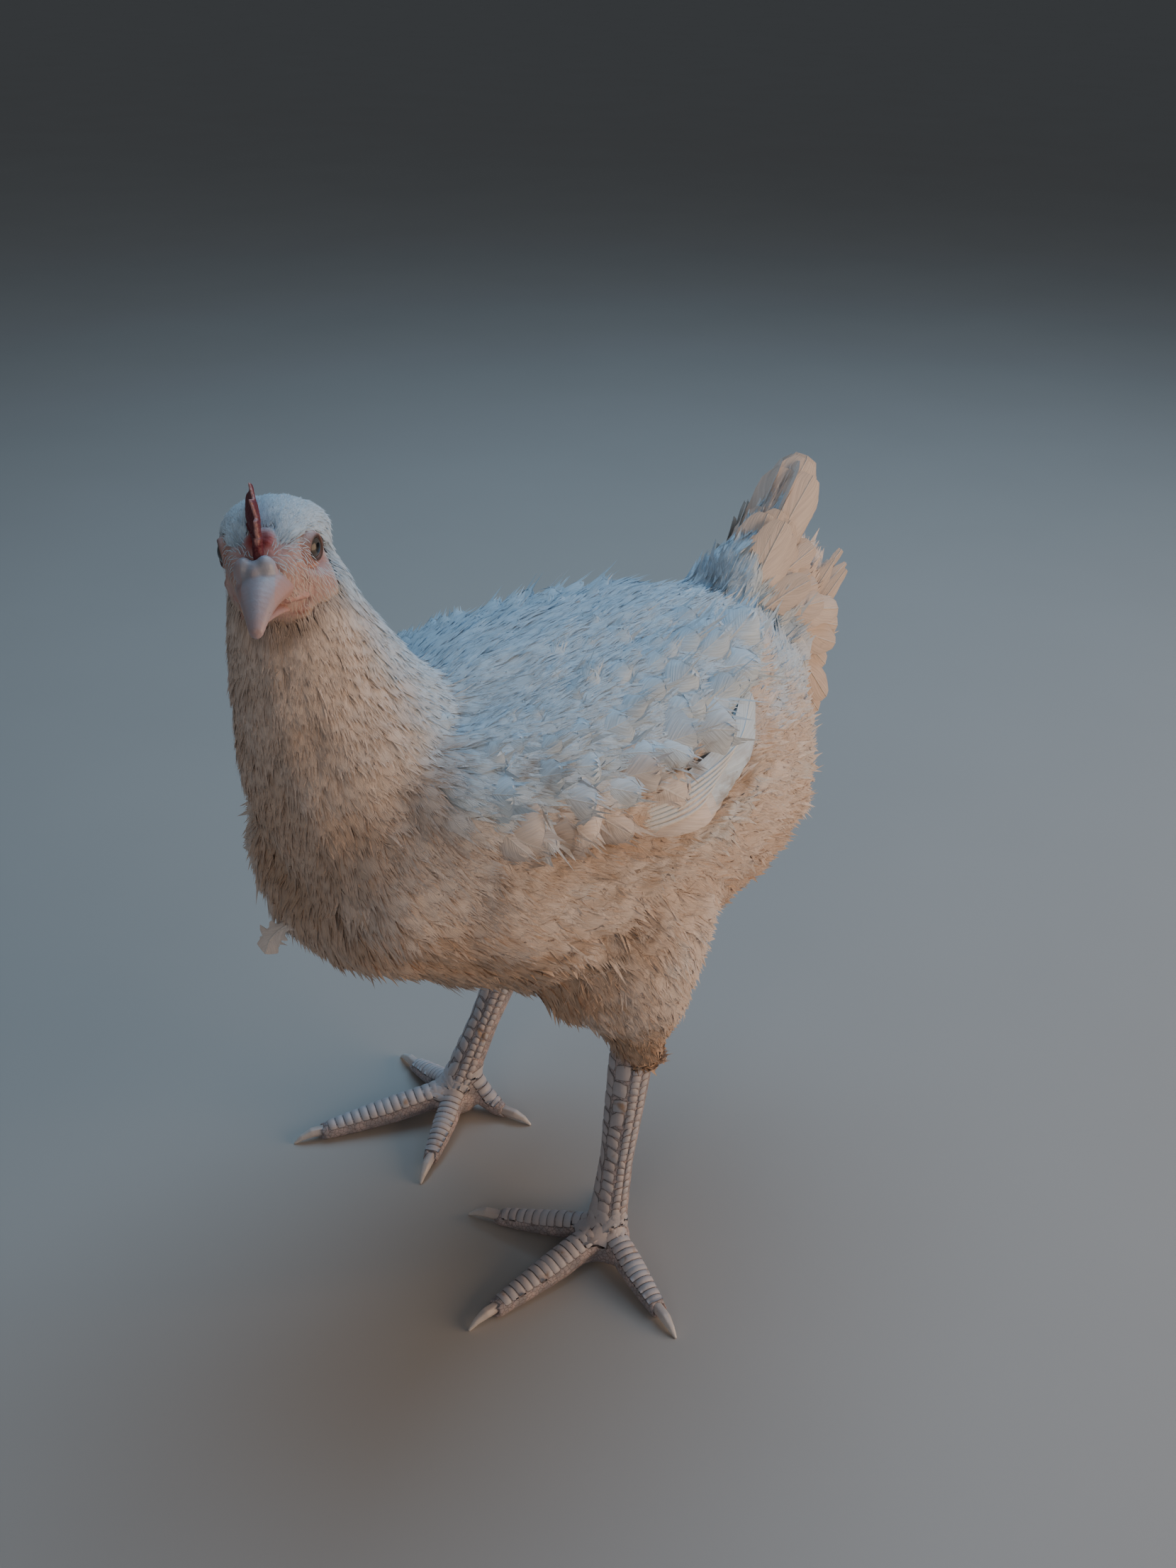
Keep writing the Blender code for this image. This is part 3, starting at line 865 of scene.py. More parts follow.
@dataclass(frozen=True)
class ScaleFinish:
    """Horny scales of the legs: pale grey pink with a darker worn rim, dusty in the grooves."""

    pale: Colour = (0.5, 0.51, 0.57)
    pink: Colour = (0.54, 0.49, 0.51)
    dust: Colour = (0.085, 0.065, 0.065)

    def material(self) -> Material:
        """The material of the scales, by each scale's own tone and the stored distance from its rim.

        Returns:
            The material.
        """
        tree = Tree("leg_scales")
        tone = tree.attribute(TONE)
        rim = tree.attribute("rim")
        colour = tree.mix(tone, self.pale, self.pink)
        colour = tree.mix(tree.times(tree.clouds(300.0, 4.0), 0.4), colour, (0.74, 0.68, 0.66))
        worn = tree.times(tree.band(rim, 0.22, 0.72), 0.95)
        colour = tree.mix(worn, colour, self.dust)
        colour = tree.mix(tree.band(tree.clouds(140.0, 5.0), 0.6, 0.74), colour, (0.42, 0.3, 0.23))
        tree.bump(tree.clouds(1800.0, 3.0), 0.25, 0.0002)
        return tree.finish(Base_Color=colour, Roughness=0.48, Specular_IOR_Level=0.4)


class Vane(Enum):
    """The outlines that feathers come in, each as rows of (share of the length, share of the width)."""

    ROUND = ((0.0, 0.1), (0.18, 0.5), (0.42, 0.88), (0.68, 1.0), (0.86, 0.9), (0.96, 0.62), (1.0, 0.38))
    NARROW = ((0.0, 0.15), (0.25, 0.7), (0.5, 1.0), (0.72, 0.88), (0.88, 0.6), (1.0, 0.22))
    BLUNT = ((0.0, 0.1), (0.15, 0.4), (0.4, 0.75), (0.7, 1.0), (0.9, 0.96), (0.98, 0.72), (1.0, 0.5))
    WISP = ((0.0, 0.6), (0.3, 1.0), (0.6, 0.8), (0.85, 0.45), (1.0, 0.1))


@dataclass(frozen=True)
class Guide:
    """How the coat lies about one place: place and lie in the body's or head's frame, then its sizes.

    Sizes are metres: depth of the coat, and each feather's length, half width and distance to the next.
    fluff is how loose the feathers are, lift how far their tips stand off as a share of their length, and
    free how far they run straight on past an edge.
    """

    at: Point
    lie: Point
    depth: float
    length: float
    width: float
    spacing: float
    fluff: float
    lift: float = 0.0
    free: float = 0.0
    head: bool = False


GUIDES = (
    # crown, cheek and throat, in the head's frame
    Guide((0.0, -0.006, 0.014), (0.0, 1.0, 0.1), 0.0009, 0.0055, 0.0009, 0.0009, 0.1, head=True),
    Guide((0.006, 0.004, 0.013), (0.1, 1.0, 0.0), 0.001, 0.006, 0.001, 0.001, 0.1, head=True),
    Guide((0.0, 0.016, 0.009), (0.0, 1.0, -0.6), 0.0018, 0.0075, 0.0013, 0.0012, 0.2, head=True),
    Guide((0.012, 0.01, 0.0), (0.1, 1.0, -0.4), 0.0008, 0.0042, 0.0006, 0.0008, 0.3, head=True),
    Guide((0.012, 0.002, -0.01), (0.1, 0.7, -0.8), 0.0008, 0.0042, 0.0006, 0.0008, 0.3, head=True),
    Guide((0.008, -0.008, -0.016), (0.2, 0.4, -0.9), 0.0008, 0.004, 0.0006, 0.0008, 0.4, head=True),
    # neck
    Guide((0.0, -0.062, 0.272), (0.0, 0.25, -1.0), 0.0032, 0.0105, 0.0017, 0.0017, 0.25),
    Guide((0.018, -0.083, 0.262), (0.1, 0.12, -1.0), 0.0026, 0.009, 0.0014, 0.0015, 0.3),
    Guide((0.0, -0.104, 0.258), (0.0, -0.05, -1.0), 0.0026, 0.009, 0.0014, 0.0015, 0.3),
    Guide((0.0, -0.045, 0.245), (0.0, 0.6, -1.0), 0.0045, 0.014, 0.0022, 0.0022, 0.25),
    Guide((0.026, -0.072, 0.236), (0.2, 0.35, -1.0), 0.004, 0.0125, 0.002, 0.002, 0.3),
    Guide((0.0, -0.112, 0.228), (0.0, 0.0, -1.0), 0.004, 0.0125, 0.002, 0.002, 0.3),
    # breast
    Guide((0.038, -0.07, 0.205), (0.2, 0.6, -1.0), 0.006, 0.0165, 0.0027, 0.0026, 0.35),
    Guide((0.0, -0.115, 0.195), (0.0, 0.1, -1.0), 0.006, 0.0155, 0.0026, 0.0025, 0.35),
    Guide((0.042, -0.086, 0.17), (0.2, 0.7, -0.8), 0.007, 0.019, 0.003, 0.0028, 0.4),
    Guide((0.0, -0.092, 0.155), (0.0, 0.5, -1.0), 0.007, 0.019, 0.003, 0.0028, 0.4),
    Guide((0.03, -0.07, 0.128), (0.1, 1.00, -0.5), 0.007, 0.021, 0.0038, 0.0035, 0.5),
    # back and rump
    Guide((0.0, -0.02, 0.238), (0.0, 1.0, -0.05), 0.0065, 0.022, 0.003, 0.003, 0.25),
    Guide((0.026, -0.02, 0.236), (0.05, 1.0, -0.15), 0.0065, 0.022, 0.003, 0.003, 0.25),
    Guide((0.0, 0.04, 0.238), (0.0, 1.0, 0.0), 0.0065, 0.025, 0.0033, 0.0032, 0.25),
    Guide((0.02, 0.075, 0.23), (0.0, 1.0, 0.1), 0.0065, 0.025, 0.0036, 0.0033, 0.25),
    Guide((0.0, 0.11, 0.225), (0.0, 1.0, 0.7), 0.0055, 0.025, 0.004, 0.0036, 0.2),
    # wing coverts
    Guide((0.046, -0.06, 0.205), (0.1, 1.0, -0.45), 0.005, 0.016, 0.0032, 0.0032, 0.3),
    Guide((0.056, -0.02, 0.2), (0.05, 1.0, -0.5), 0.0055, 0.02, 0.0038, 0.0037, 0.3),
    Guide((0.052, 0.02, 0.205), (0.0, 1.0, -0.35), 0.0055, 0.0215, 0.004, 0.0038, 0.3),
    Guide((0.042, 0.06, 0.215), (-0.1, 1.0, -0.15), 0.0055, 0.022, 0.004, 0.0038, 0.3),
    # flank, belly and vent
    Guide((0.062, -0.03, 0.16), (0.1, 1.0, -0.45), 0.0075, 0.025, 0.0038, 0.0038, 0.7),
    Guide((0.062, 0.02, 0.155), (0.05, 1.0, -0.55), 0.008, 0.027, 0.0038, 0.0038, 0.8),
    Guide((0.05, 0.06, 0.15), (-0.05, 1.0, -0.45), 0.008, 0.027, 0.0038, 0.0038, 0.8, 0.02),
    Guide((0.035, 0.01, 0.104), (0.1, 1.0, -0.4), 0.0065, 0.022, 0.0036, 0.0036, 0.7),
    Guide((0.0, 0.03, 0.098), (0.0, 1.0, -0.2), 0.0065, 0.022, 0.0036, 0.0036, 0.7),
    Guide((0.035, 0.1, 0.14), (-0.1, 1.0, -0.45), 0.0075, 0.025, 0.004, 0.0038, 0.8, 0.04),
    Guide((0.0, 0.13, 0.13), (0.0, 1.0, -0.45), 0.0075, 0.025, 0.004, 0.0038, 0.8, 0.05),
    Guide((0.025, 0.12, 0.175), (0.0, 1.0, -0.1), 0.006, 0.024, 0.0046, 0.004, 0.4, 0.02),
    # tail, out from its root
    Guide((0.008, 0.124, 0.236), (0.0, 0.75, 1.0), 0.0035, 0.023, 0.004, 0.0036, 0.2),
    Guide((0.008, 0.146, 0.262), (0.0, 0.65, 1.0), 0.0028, 0.021, 0.0038, 0.0036, 0.2),
    Guide((0.01, 0.118, 0.25), (0.0, 0.15, 1.0), 0.003, 0.018, 0.004, 0.0036, 0.3),
    Guide((0.014, 0.16, 0.224), (0.0, 1.0, 0.45), 0.0035, 0.024, 0.0055, 0.0046, 0.4),
    Guide((0.018, 0.17, 0.196), (0.0, 1.0, -0.05), 0.004, 0.024, 0.0066, 0.0052, 0.4),
    Guide((0.02, 0.16, 0.168), (0.0, 1.0, -0.5), 0.004, 0.024, 0.0066, 0.0052, 0.5),
    Guide((0.018, 0.138, 0.15), (0.0, 0.7, -1.0), 0.0045, 0.023, 0.0055, 0.0048, 0.6),
    # thighs, down to the hocks
    Guide((0.056, 0.0, 0.135), (0.15, 0.45, -1.0), 0.0055, 0.017, 0.0032, 0.003, 0.5),
    Guide((0.052, 0.004, 0.112), (0.1, 0.25, -1.0), 0.0035, 0.0125, 0.0022, 0.0022, 0.4, free=0.3),
    Guide((0.052, 0.03, 0.118), (0.05, 0.5, -1.0), 0.005, 0.015, 0.0028, 0.0028, 0.6, 0.02, 0.3),
    Guide((0.044, 0.024, 0.092), (0.0, 0.1, -1.0), 0.002, 0.0085, 0.0014, 0.0014, 0.3, free=1.0),
    Guide((0.042, 0.022, 0.072), (0.0, 0.05, -1.0), 0.0012, 0.0065, 0.0011, 0.0011, 0.3, free=1.0),
    Guide((-0.064, 0.058, 0.066), (0.0, 0.05, -1.0), 0.0012, 0.0065, 0.0011, 0.0011, 0.3, free=1.0),
)


class Lie:
    """The lie of the coat everywhere: a smooth blend of the guides on both sides of the body."""

    reach: float = 0.018
    kinds: tuple[str, ...] = ("depth", "length", "width", "spacing", "fluff", "lift", "free")

    def __init__(self, guides: tuple[Guide, ...]) -> None:
        """Places the guides.

        Args:
            guides: the guides of the left side and the middle.
        """
        at, lie, sizes, spans = [], [], [], []
        for guide in guides:
            matrix = HEAD if guide.head else BODY
            for side in (1, -1) if guide.at[0] >= 0 else (-1,):
                at.append(matrix @ Vector((abs(guide.at[0]) * side, guide.at[1], guide.at[2])))
                spans.append(self.reach * (0.4 if guide.head else 0.6 if guide.free > 0.9 else 1.0))
                lie.append((matrix.to_3x3() @ Vector(mirrored(guide.lie, side)).normalized()).normalized())
                sizes.append([getattr(guide, name) for name in self.kinds])
        self.at = np.array(at)
        self.lie = np.array(lie)
        self.sizes = np.array(sizes)
        self.spans = np.array(spans)

    def read(self, points: Rows) -> tuple[Rows, Rows]:
        """The lie and the sizes at points.

        Args:
            points: rows of coordinates.

        Returns:
            Directions at unit length, and rows of depth, length, half width, spacing, fluff, lift and free.
        """
        gaps = ((points[:, None, :] - self.at[None, :, :]) ** 2).sum(-1)
        weights = np.exp(-gaps / (2 * self.spans**2)) + 1e-9 / (gaps + 1e-4)
        weights /= weights.sum(1, keepdims=True)
        return unit(weights @ self.lie), weights @ self.sizes


@dataclass
class Strands:
    """Feathers waiting to be built: traced spines with their normals, and each one's sizes."""

    points: Rows
    normals: Rows
    width: Rows
    fluff: Rows
    outline: Vane
    tone: Rows
    warmth: Rows

    def only(self, rows: Rows) -> "Strands":
        """The picked feathers alone."""
        picked = {name: getattr(self, name)[rows] for name in vars(self) if name != "outline"}
        return Strands(outline=self.outline, **picked)


@dataclass
class CoatMesh:
    """Collects feathers as arrays, ready to be joined into one mesh.

    rows and columns divide each vane, barbs is the number of loose barbs along each edge, cup is how far
    the edges curl down, and ragged, uneven and stand_off say how irregular edges and barbs are.
    """

    name: str
    rows: int = 7
    columns: int = 4
    barbs: int = 6
    cup: float = 0.22
    ragged: float = 0.5
    uneven: float = 0.10
    stand_off: float = 0.16
    barbs_from: float = 0.45
    barb_root: float = 0.92
    barb_tip: float = 1.16
    seed: int = SEED
    blocks: list[Block] = field(default_factory=list)

    def template(self) -> tuple[Rows, Rows, Rows, Rows]:
        """Where a feather's points lie, as shares of its length and half width.

        Returns:
            Rows of (along, across), quads, triangles and a mark for each point that is a barb's tip.
        """
        along = np.linspace(0.0, 1.0, self.rows + 1)
        across = np.linspace(-1.0, 1.0, self.columns + 1)
        spots = [(t, s) for t in along for s in across]
        tips = [0.0] * len(spots)
        triangles = []
        step = (1 - self.barbs_from) / max(self.barbs, 1)
        for side in (-1.0, 1.0):
            for k in range(self.barbs):
                t = self.barbs_from + step * k
                root, tip = side * self.barb_root, side * self.barb_tip
                first = len(spots)
                spots += [(t, root), (t + step * 1.1, root), (t + step * 2.6, tip)]
                tips += [0.0, 0.0, 1.0]
                corner = (first, first + 1, first + 2)
                triangles.append(corner if side > 0 else corner[::-1])
        ends = self.columns + 1 if self.barbs else 0
        for k in range(ends):
            s = -0.9 + 1.8 * k / ends
            first = len(spots)
            spots += [(0.97, s), (0.97, s + 1.8 / ends), (1.1, s * 1.15 + 0.9 / ends)]
            tips += [0.0, 0.0, 1.0]
            triangles.append((first + 1, first, first + 2))
        quads = grid_quads(self.rows, self.columns)
        return np.array(spots), quads, np.array(triangles, int).reshape(-1, 3), np.array(tips)

    def add(self, strands: Strands, roots: Rows) -> None:
        """Builds a block of feathers.

        Args:
            strands: the feathers.
            roots: the place of each root on the skin's unwrap.
        """
        rng = np.random.default_rng(self.seed + len(self.blocks))
        spots, quads, triangles, tips = self.template()
        count, knots = strands.points.shape[:2]
        along, across = spots[:, 0], spots[:, 1]
        wave = rng.normal(0.0, 1.0, (count, len(spots)))
        stretch = 1.0 + tips * self.ragged * wave * self.uneven
        reach = along[None, :] * stretch
        step = np.clip(reach, 0.0, 0.9999) * (knots - 1)
        low = np.floor(step).astype(int)
        share = (step - low)[..., None]
        number = np.arange(count)[:, None]
        spine = strands.points[number, low] * (1 - share) + strands.points[number, low + 1] * share
        facing = strands.normals[number, low] * (1 - share) + strands.normals[number, low + 1] * share
        forward = unit(strands.points[number, low + 1] - strands.points[number, low])
        length = np.linalg.norm(np.diff(strands.points, axis=1), axis=2).sum(1)
        spine = spine + forward * ((reach - np.clip(reach, 0, 1)) * length[:, None])[..., None]
        side = unit(np.cross(forward, facing))
        facing = unit(np.cross(side, forward))
        table = np.array(strands.outline.value)
        width = np.interp(np.clip(reach, 0, 1), table[:, 0], table[:, 1])
        edge = 1.0 + self.uneven * wave * np.abs(across)[None, :] * self.ragged
        offset = across[None, :] * edge * width * strands.width[:, None]
        curve = -self.cup * across[None, :] ** 2 * width * strands.width[:, None]
        loose = tips[None, :] * np.abs(wave) * self.stand_off * strands.width[:, None]
        loose = loose * (0.3 + strands.fluff[:, None])
        points = spine + side * offset[..., None] + facing * (curve + loose)[..., None]
        vane = np.stack([0.5 + 0.5 * across[None, :] * edge, reach], -1)
        patch = np.stack([across * 0.5, along - 0.5], -1) * BAKE_PATCH
        bake = roots[:, None, :] + patch[None, :, :]
        tone = np.repeat(strands.tone[:, None], len(spots), 1)
        warmth = np.repeat(strands.warmth[:, None], len(spots), 1)
        shift = (np.arange(count) * len(spots))[:, None, None]
        self.blocks.append(
            (
                points.reshape(-1, 3),
                (quads[None] + shift).reshape(-1, 4),
                (triangles[None] + shift).reshape(-1, 3),
                vane.reshape(-1, 2),
                bake.reshape(-1, 2),
                tone.ravel(),
                warmth.ravel(),
            )
        )


def warmth_and_light_at(points: Rows, normals: Rows) -> Rows:
    """How warm the white is, largely painted light: cool painted skylight where feathers face up and on the
    crown, warmer painted bounce light and shade on sides, throat and underside, and warmer too at the wing
    and tail.

    Args:
        points: rows of coordinates.
        normals: the outline's normals there.

    Returns:
        A share for each point.
    """
    local = in_body(points)
    side, ahead, height = np.abs(local[:, 0]), local[:, 1], local[:, 2]
    neck, crown, tail = fade(ahead + 0.066, 0.008), fade(0.292 - height, 0.006), fade(0.118 - ahead, 0.006)
    wing = ramp(side - 0.042, 0.012) * (1 - neck)
    # painted light: feathers facing up are cooler, those facing down and lower on the body warmer
    warmth = 0.43 - 0.62 * normals[:, 2] + 3.2 * (0.185 - height)
    warmth += neck * (1 - crown) * (0.42 + 1.2 * np.clip(height - 0.19, 0, 0.08))
    warmth -= 0.35 * crown
    warmth += 0.42 * wing * ramp(0.222 - height, 0.016) * ramp(height - 0.182, 0.008)
    return np.clip(warmth + 0.4 * tail, 0, 1)


@dataclass(frozen=True)
class Toe:
    """A toe: its name, where its claw ends on the floor, its radius at the root and its scales."""

    name: str
    end: tuple[float, float]
    radius: float
    scales: int


@dataclass(frozen=True)
class Leg:
    """A leg's joints and toes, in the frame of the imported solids."""

    side: str
    hock: Point
    foot: Point
    toes: tuple[Toe, ...]

    claw: float = 0.0115
    rise: float = 0.009
    taper: tuple[tuple[float, ...], ...] = ((0, 0.22, 0.44, 0.72, 1), (1.25, 1.06, 1.08, 0.9, 0.66))

    def root(self, toe: Toe) -> Vector:
        """Where a toe leaves the foot; the hind toe leaves the shank a little above it.

        Args:
            toe: the toe.

        Returns:
            The middle of its root.
        """
        foot, hock = Vector(self.foot), Vector(self.hock)
        if toe.name == "hind":
            return foot + (hock - foot).normalized() * self.rise
        return foot - Vector((0, 0, foot.z * 0.16))

    def path(self, toe: Toe, steps: int) -> tuple[list[Vector], list[float]]:
        """The middle line of a toe, up to its claw.

        Args:
            toe: the toe.
            steps: how many steps to cut it in.

        Returns:
            Points and the radius at each.
        """
        root = self.root(toe)
        out = Vector((*toe.end, 0)) - Vector((root.x, root.y, 0))
        stop = (out.length - self.claw) / out.length
        points, radii = [], []
        for i in range(steps + 1):
            share = i / steps
            radius = toe.radius * float(np.interp(share, *self.taper))
            resting = radius * 0.88 + 0.0022 * (1 - share) * min(share * 4, 1.0)
            height = resting + (root.z - resting) * (1 - min(share / 0.55, 1.0)) ** 1.3
            points.append(Vector((root.x, root.y, 0)) + out * stop * share + Vector((0, 0, height)))
            radii.append(radius)
        return points, radii


LEGS = (
    Leg(
        "left",
        (0.0515, -0.0187, 0.09),
        (0.0487, -0.028, 0.013),
        (
            Toe("inner", (-0.002, -0.0537), 0.0046, 13),
            Toe("middle", (0.042, -0.0922), 0.0052, 17),
            Toe("outer", (0.097, -0.0422), 0.0047, 14),
            Toe("hind", (0.028, -0.0032), 0.004, 8),
        ),
    ),
    Leg(
        "right",
        (-0.0485, 0.0228, 0.08),
        (-0.053, -0.0142, 0.0125),
        (
            Toe("inner", (-0.028, -0.0562), 0.0046, 13),
            Toe("middle", (-0.0835, -0.0777), 0.0052, 17),
            Toe("outer", (-0.097, -0.0102), 0.0047, 14),
            Toe("hind", (-0.0225, -0.0007), 0.004, 8),
        ),
    ),
)


def bump_at(points: Rows, at: Point, radii: Point) -> Rows:
    """How near points are to a place: 1 there, fading smoothly to nothing about two radii away.

    Args:
        points: rows of coordinates.
        at: the place.
        radii: the size along each axis.

    Returns:
        A share for each point.
    """
    gap = (points - np.array(at)) / np.array(radii)
    return np.exp(-(gap**2).sum(-1))


@dataclass(frozen=True)
class Stroke:
    """A touch on the head: a place and radii in the head's frame, and how far the skin rises there."""

    at: Point
    radii: Point
    height: float


@dataclass(frozen=True)
class Fold:
    """A fold of the face along a line in the head's frame: its radius and how far the skin rises."""

    line: tuple[Point, ...]
    radius: float
    height: float

    def near(self, points: Rows) -> Rows:
        """How near points are to the line: 1 on it, fading smoothly to nothing.

        Args:
            points: rows of coordinates in the head's frame, on either side.

        Returns:
            A share for each point.
        """
        half = folded(points)
        least = np.full(len(points), np.inf)
        for start, end in zip(np.array(self.line[:-1]), np.array(self.line[1:])):
            way = end - start
            share = np.clip((half - start) @ way / (way @ way), 0, 1)
            least = np.minimum(least, ((half - start - share[:, None] * way) ** 2).sum(1))
        return np.exp(-least / self.radius**2)


LIP = Fold(
    ((0.0048, -0.0205, -0.0052), (0.0068, -0.0165, -0.0066), (0.01, -0.012, -0.008)), 0.0012, 0.001
)
MOUTH = Fold(
    ((0.0056, -0.0178, -0.008), (0.008, -0.015, -0.009), (0.0104, -0.0118, -0.0098)), 0.0008, -0.0011
)
UNDER_LIP = Fold(
    ((0.005, -0.018, -0.0104), (0.0078, -0.0145, -0.0118), (0.0098, -0.0112, -0.012)), 0.0011, 0.0008
)
BROW = Fold(
    ((0.008, -0.0105, 0.007), (0.011, -0.0055, 0.0092), (0.0118, 0.001, 0.009)), 0.0016, 0.0008
)
CHEEK = Fold(
    ((0.0105, -0.0105, -0.003), (0.0128, -0.0065, -0.0068), (0.0136, -0.0005, -0.0085)), 0.0012, 0.0006
)
FOLDS = (LIP, MOUTH, UNDER_LIP, BROW, CHEEK)


@dataclass
class Skin:
    """The one skin of head, neck, body, wings, legs and feet, inside the solids by the coat's depth.

    voxel and coarse are the sizes of the skin's and the outline's faces. The eye, the jaw and the strokes
    are in the head's frame; the tail, the vent and the wing are in the body's. The clumps are waves for
    each metre, and calm says how much less the outline is ruffled at the wing and on the back.
    """

    lie: Lie
    voxel: float = 0.0011
    coarse: float = 0.002
    grow: float = 0.0006
    tail_root: Point = (0.0, 0.112, 0.196)
    rump_radii: Point = (0.013, 0.02, 0.015)
    eye: Point = EYE_AT
    eye_radius: float = 0.0052
    opening: float = 0.0034
    look: Point = EYE_LOOK
    slimmer: float = 0.3
    sock_shift: float = 0.75
    lip: float = 0.0011
    bare_edge: float = 0.0008
    jaw: Point = (0.0, 0.004, -0.016)
    jaw_reach: float = 0.022
    grain: float = 0.00009
    refined: float = 0.024
    lid_folds: tuple[Point, ...] = (  # how high, how far past the opening, how wide
        (0.0006, 0.0005, 0.0006),
        (-0.0003, 0.0018, 0.00035),
        (0.00024, 0.0026, 0.00045),
        (-0.00024, 0.0036, 0.0004),
    )
    tail_at: Point = TAIL_AT
    tail_share: float = 0.74
    skin_tail_share: float = 0.8
    tail_start: float = 0.022
    vent: Point = (0.0, 0.134, 0.108)
    vent_radii: Point = (0.06, 0.026, 0.024)
    vent_shift: Point = (0.0, -0.009, 0.011)
    lump: float = 0.0002
    clump: float = 0.0021
    loose_clump: float = 0.0006
    clumps: float = 56.0
    fine_clumps: float = 135.0
    wing_at: Point = (0.056, 0.024, 0.2)
    wing_radii: Point = (0.024, 0.06, 0.022)
    wing_calm: float = 0.75
    back_calm: float = 0.6
    head_reach: float = 0.034
    leg_height: float = 0.098
    hidden_share: float = 0.42
    web_top: float = 0.0105
    web_bottom: float = 0.002
    strokes: tuple[Stroke, ...] = (
        Stroke((0.012, -0.0085, -0.001), (0.003, 0.0012, 0.0055), -0.0006),  # fold before the eye
        Stroke((0.0028, -0.0122, 0.01), (0.0022, 0.005, 0.0026), 0.0014),  # flesh beside the comb
        Stroke((0.0045, -0.01, -0.017), (0.002, 0.008, 0.002), 0.0006),  # rods of the jaw
        Stroke((0.0, -0.009, -0.016), (0.0016, 0.008, 0.003), -0.0007),  # hollow between them
        Stroke((0.013, 0.011, -0.001), (0.003, 0.0022, 0.0026), -0.0009),  # ear
        Stroke((0.013, 0.014, -0.001), (0.003, 0.0014, 0.0034), 0.0005),  # rim behind the ear
        Stroke((0.006, -0.014, 0.008), (0.003, 0.003, 0.003), -0.0006),  # hollow before the brow
    )

    def outline(self, name: str, nodes: tuple[str, ...]) -> Piece:
        """The outline of the plumage: solids joined to one smooth closed surface.

        Args:
            name: the object's name.
            nodes: the solids.

        Returns:
            The object.
        """
        made = copy_of(name, nodes, self.grow)
        remeshed(made, self.coarse, 3)
        local = in_head(coordinates(made.data))
        jaw = (lengths_of(local - np.array(self.jaw)) < self.jaw_reach) & (local[:, 1] > -0.008)
        group = made.vertex_groups.new(name="jaw")
        group.add(np.nonzero(jaw)[0].tolist(), 1.0, "REPLACE")
        smoothed(made, 14, "jaw")
        made.vertex_groups.clear()
        points = self.trim(self.slim(coordinates(made.data)), self.tail_share)
        set_coordinates(made.data, self.tuck(points))
        return made

    def tuck(self, points: Rows) -> Rows:
        """Rounds off the corner below the tail.

        Args:
            points: the outline's points.

        Returns:
            The moved points.
        """
        local = in_body(points)
        corner = bump_at(local, self.vent, self.vent_radii)
        return moved(BODY, local + corner[:, None] * np.array(self.vent_shift))

    def trim(self, points: Rows, share: float) -> Rows:
        """Draws the tail in towards its root, all but its upright tuft.

        Args:
            points: rows of coordinates.
            share: what is left of the tail's reach past the trunk.

        Returns:
            The moved points.
        """
        local = in_body(points)
        gap = local - np.array(self.tail_at)
        reach = np.hypot(gap[:, 1], gap[:, 2])
        lift = np.degrees(np.arctan2(gap[:, 2], gap[:, 1]))
        tuft = ramp(lift - 44, 7)
        part = eased(ramp(reach - self.tail_start, 0.016) * ramp(lift + 75, 12) * (lift < 100))
        drawn = self.tail_start + (reach - self.tail_start) * (share + (1 - share) * tuft)
        scale = 1 + (drawn / np.maximum(reach, 1e-6) - 1) * part
        local[:, 1:] = np.array(self.tail_at)[1:] + gap[:, 1:] * scale[:, None]
        local[:, 0] *= 1 - 0.3 * part
        return moved(BODY, local)

    def slim(self, points: Rows) -> Rows:
        """Narrows the feathered thighs towards the hocks.

        Args:
            points: the outline's points.

        Returns:
            The moved points.
        """
        for leg in LEGS:
            hock = np.array(leg.hock)
            rise = points[:, 2] - hock[2]
            gap = lengths_of(points[:, :2] - hock[:2])
            near = (rise > -0.012) & (rise < 0.05) & (gap < 0.036)
            if not near.any():
                continue
            lines = [np.polyfit(rise[near], points[near, i], 1) for i in (0, 1)]
            middle = np.stack([np.polyval(line, rise) for line in lines], 1)
            part = eased(ramp(0.05 - rise, 0.045)) * near * ramp(0.036 - gap, 0.006)
            foot = np.array([np.polyval(line, 0.0) for line in lines])
            points[:, :2] += (middle - points[:, :2]) * (self.slimmer * part)[:, None]
            points[:, :2] += self.sock_shift * (hock[:2] - foot) * part[:, None]
        return points

    def ruffled(self, outline: Piece) -> Piece:
        """Gives the outline the soft lumps that clumps of feathers make.

        Args:
            outline: the outline of the plumage.

        Returns:
            The same object.
        """
        points, normals = coordinates(outline.data), normals_of(outline.data)
        _, sizes = self.lie.read(points)
        size = self.lump + (self.clump + self.loose_clump * sizes[:, 4]) * ramp(sizes[:, 0] - 0.001, 0.005)
        height = np.empty(len(points))
        for i, point in enumerate(points.tolist()):
            place = Vector((point[0], point[1] * 0.7, point[2] * 0.8))
            height[i] = noise.noise(place * self.clumps) + 0.4 * noise.noise(place * self.fine_clumps)
        local = in_body(points)
        wings = (bump_at(local, mirrored(self.wing_at, side), self.wing_radii) for side in (-1, 1))
        back = ramp(normals[:, 2] - 0.25, 0.45) * ramp(local[:, 2] - 0.19, 0.02)
        size = size * (1 - self.wing_calm * np.maximum(*wings)) * (1 - self.back_calm * back)
        set_coordinates(outline.data, points + normals * (height * size * ramp(points[:, 2], 0.02))[:, None])
        return outline

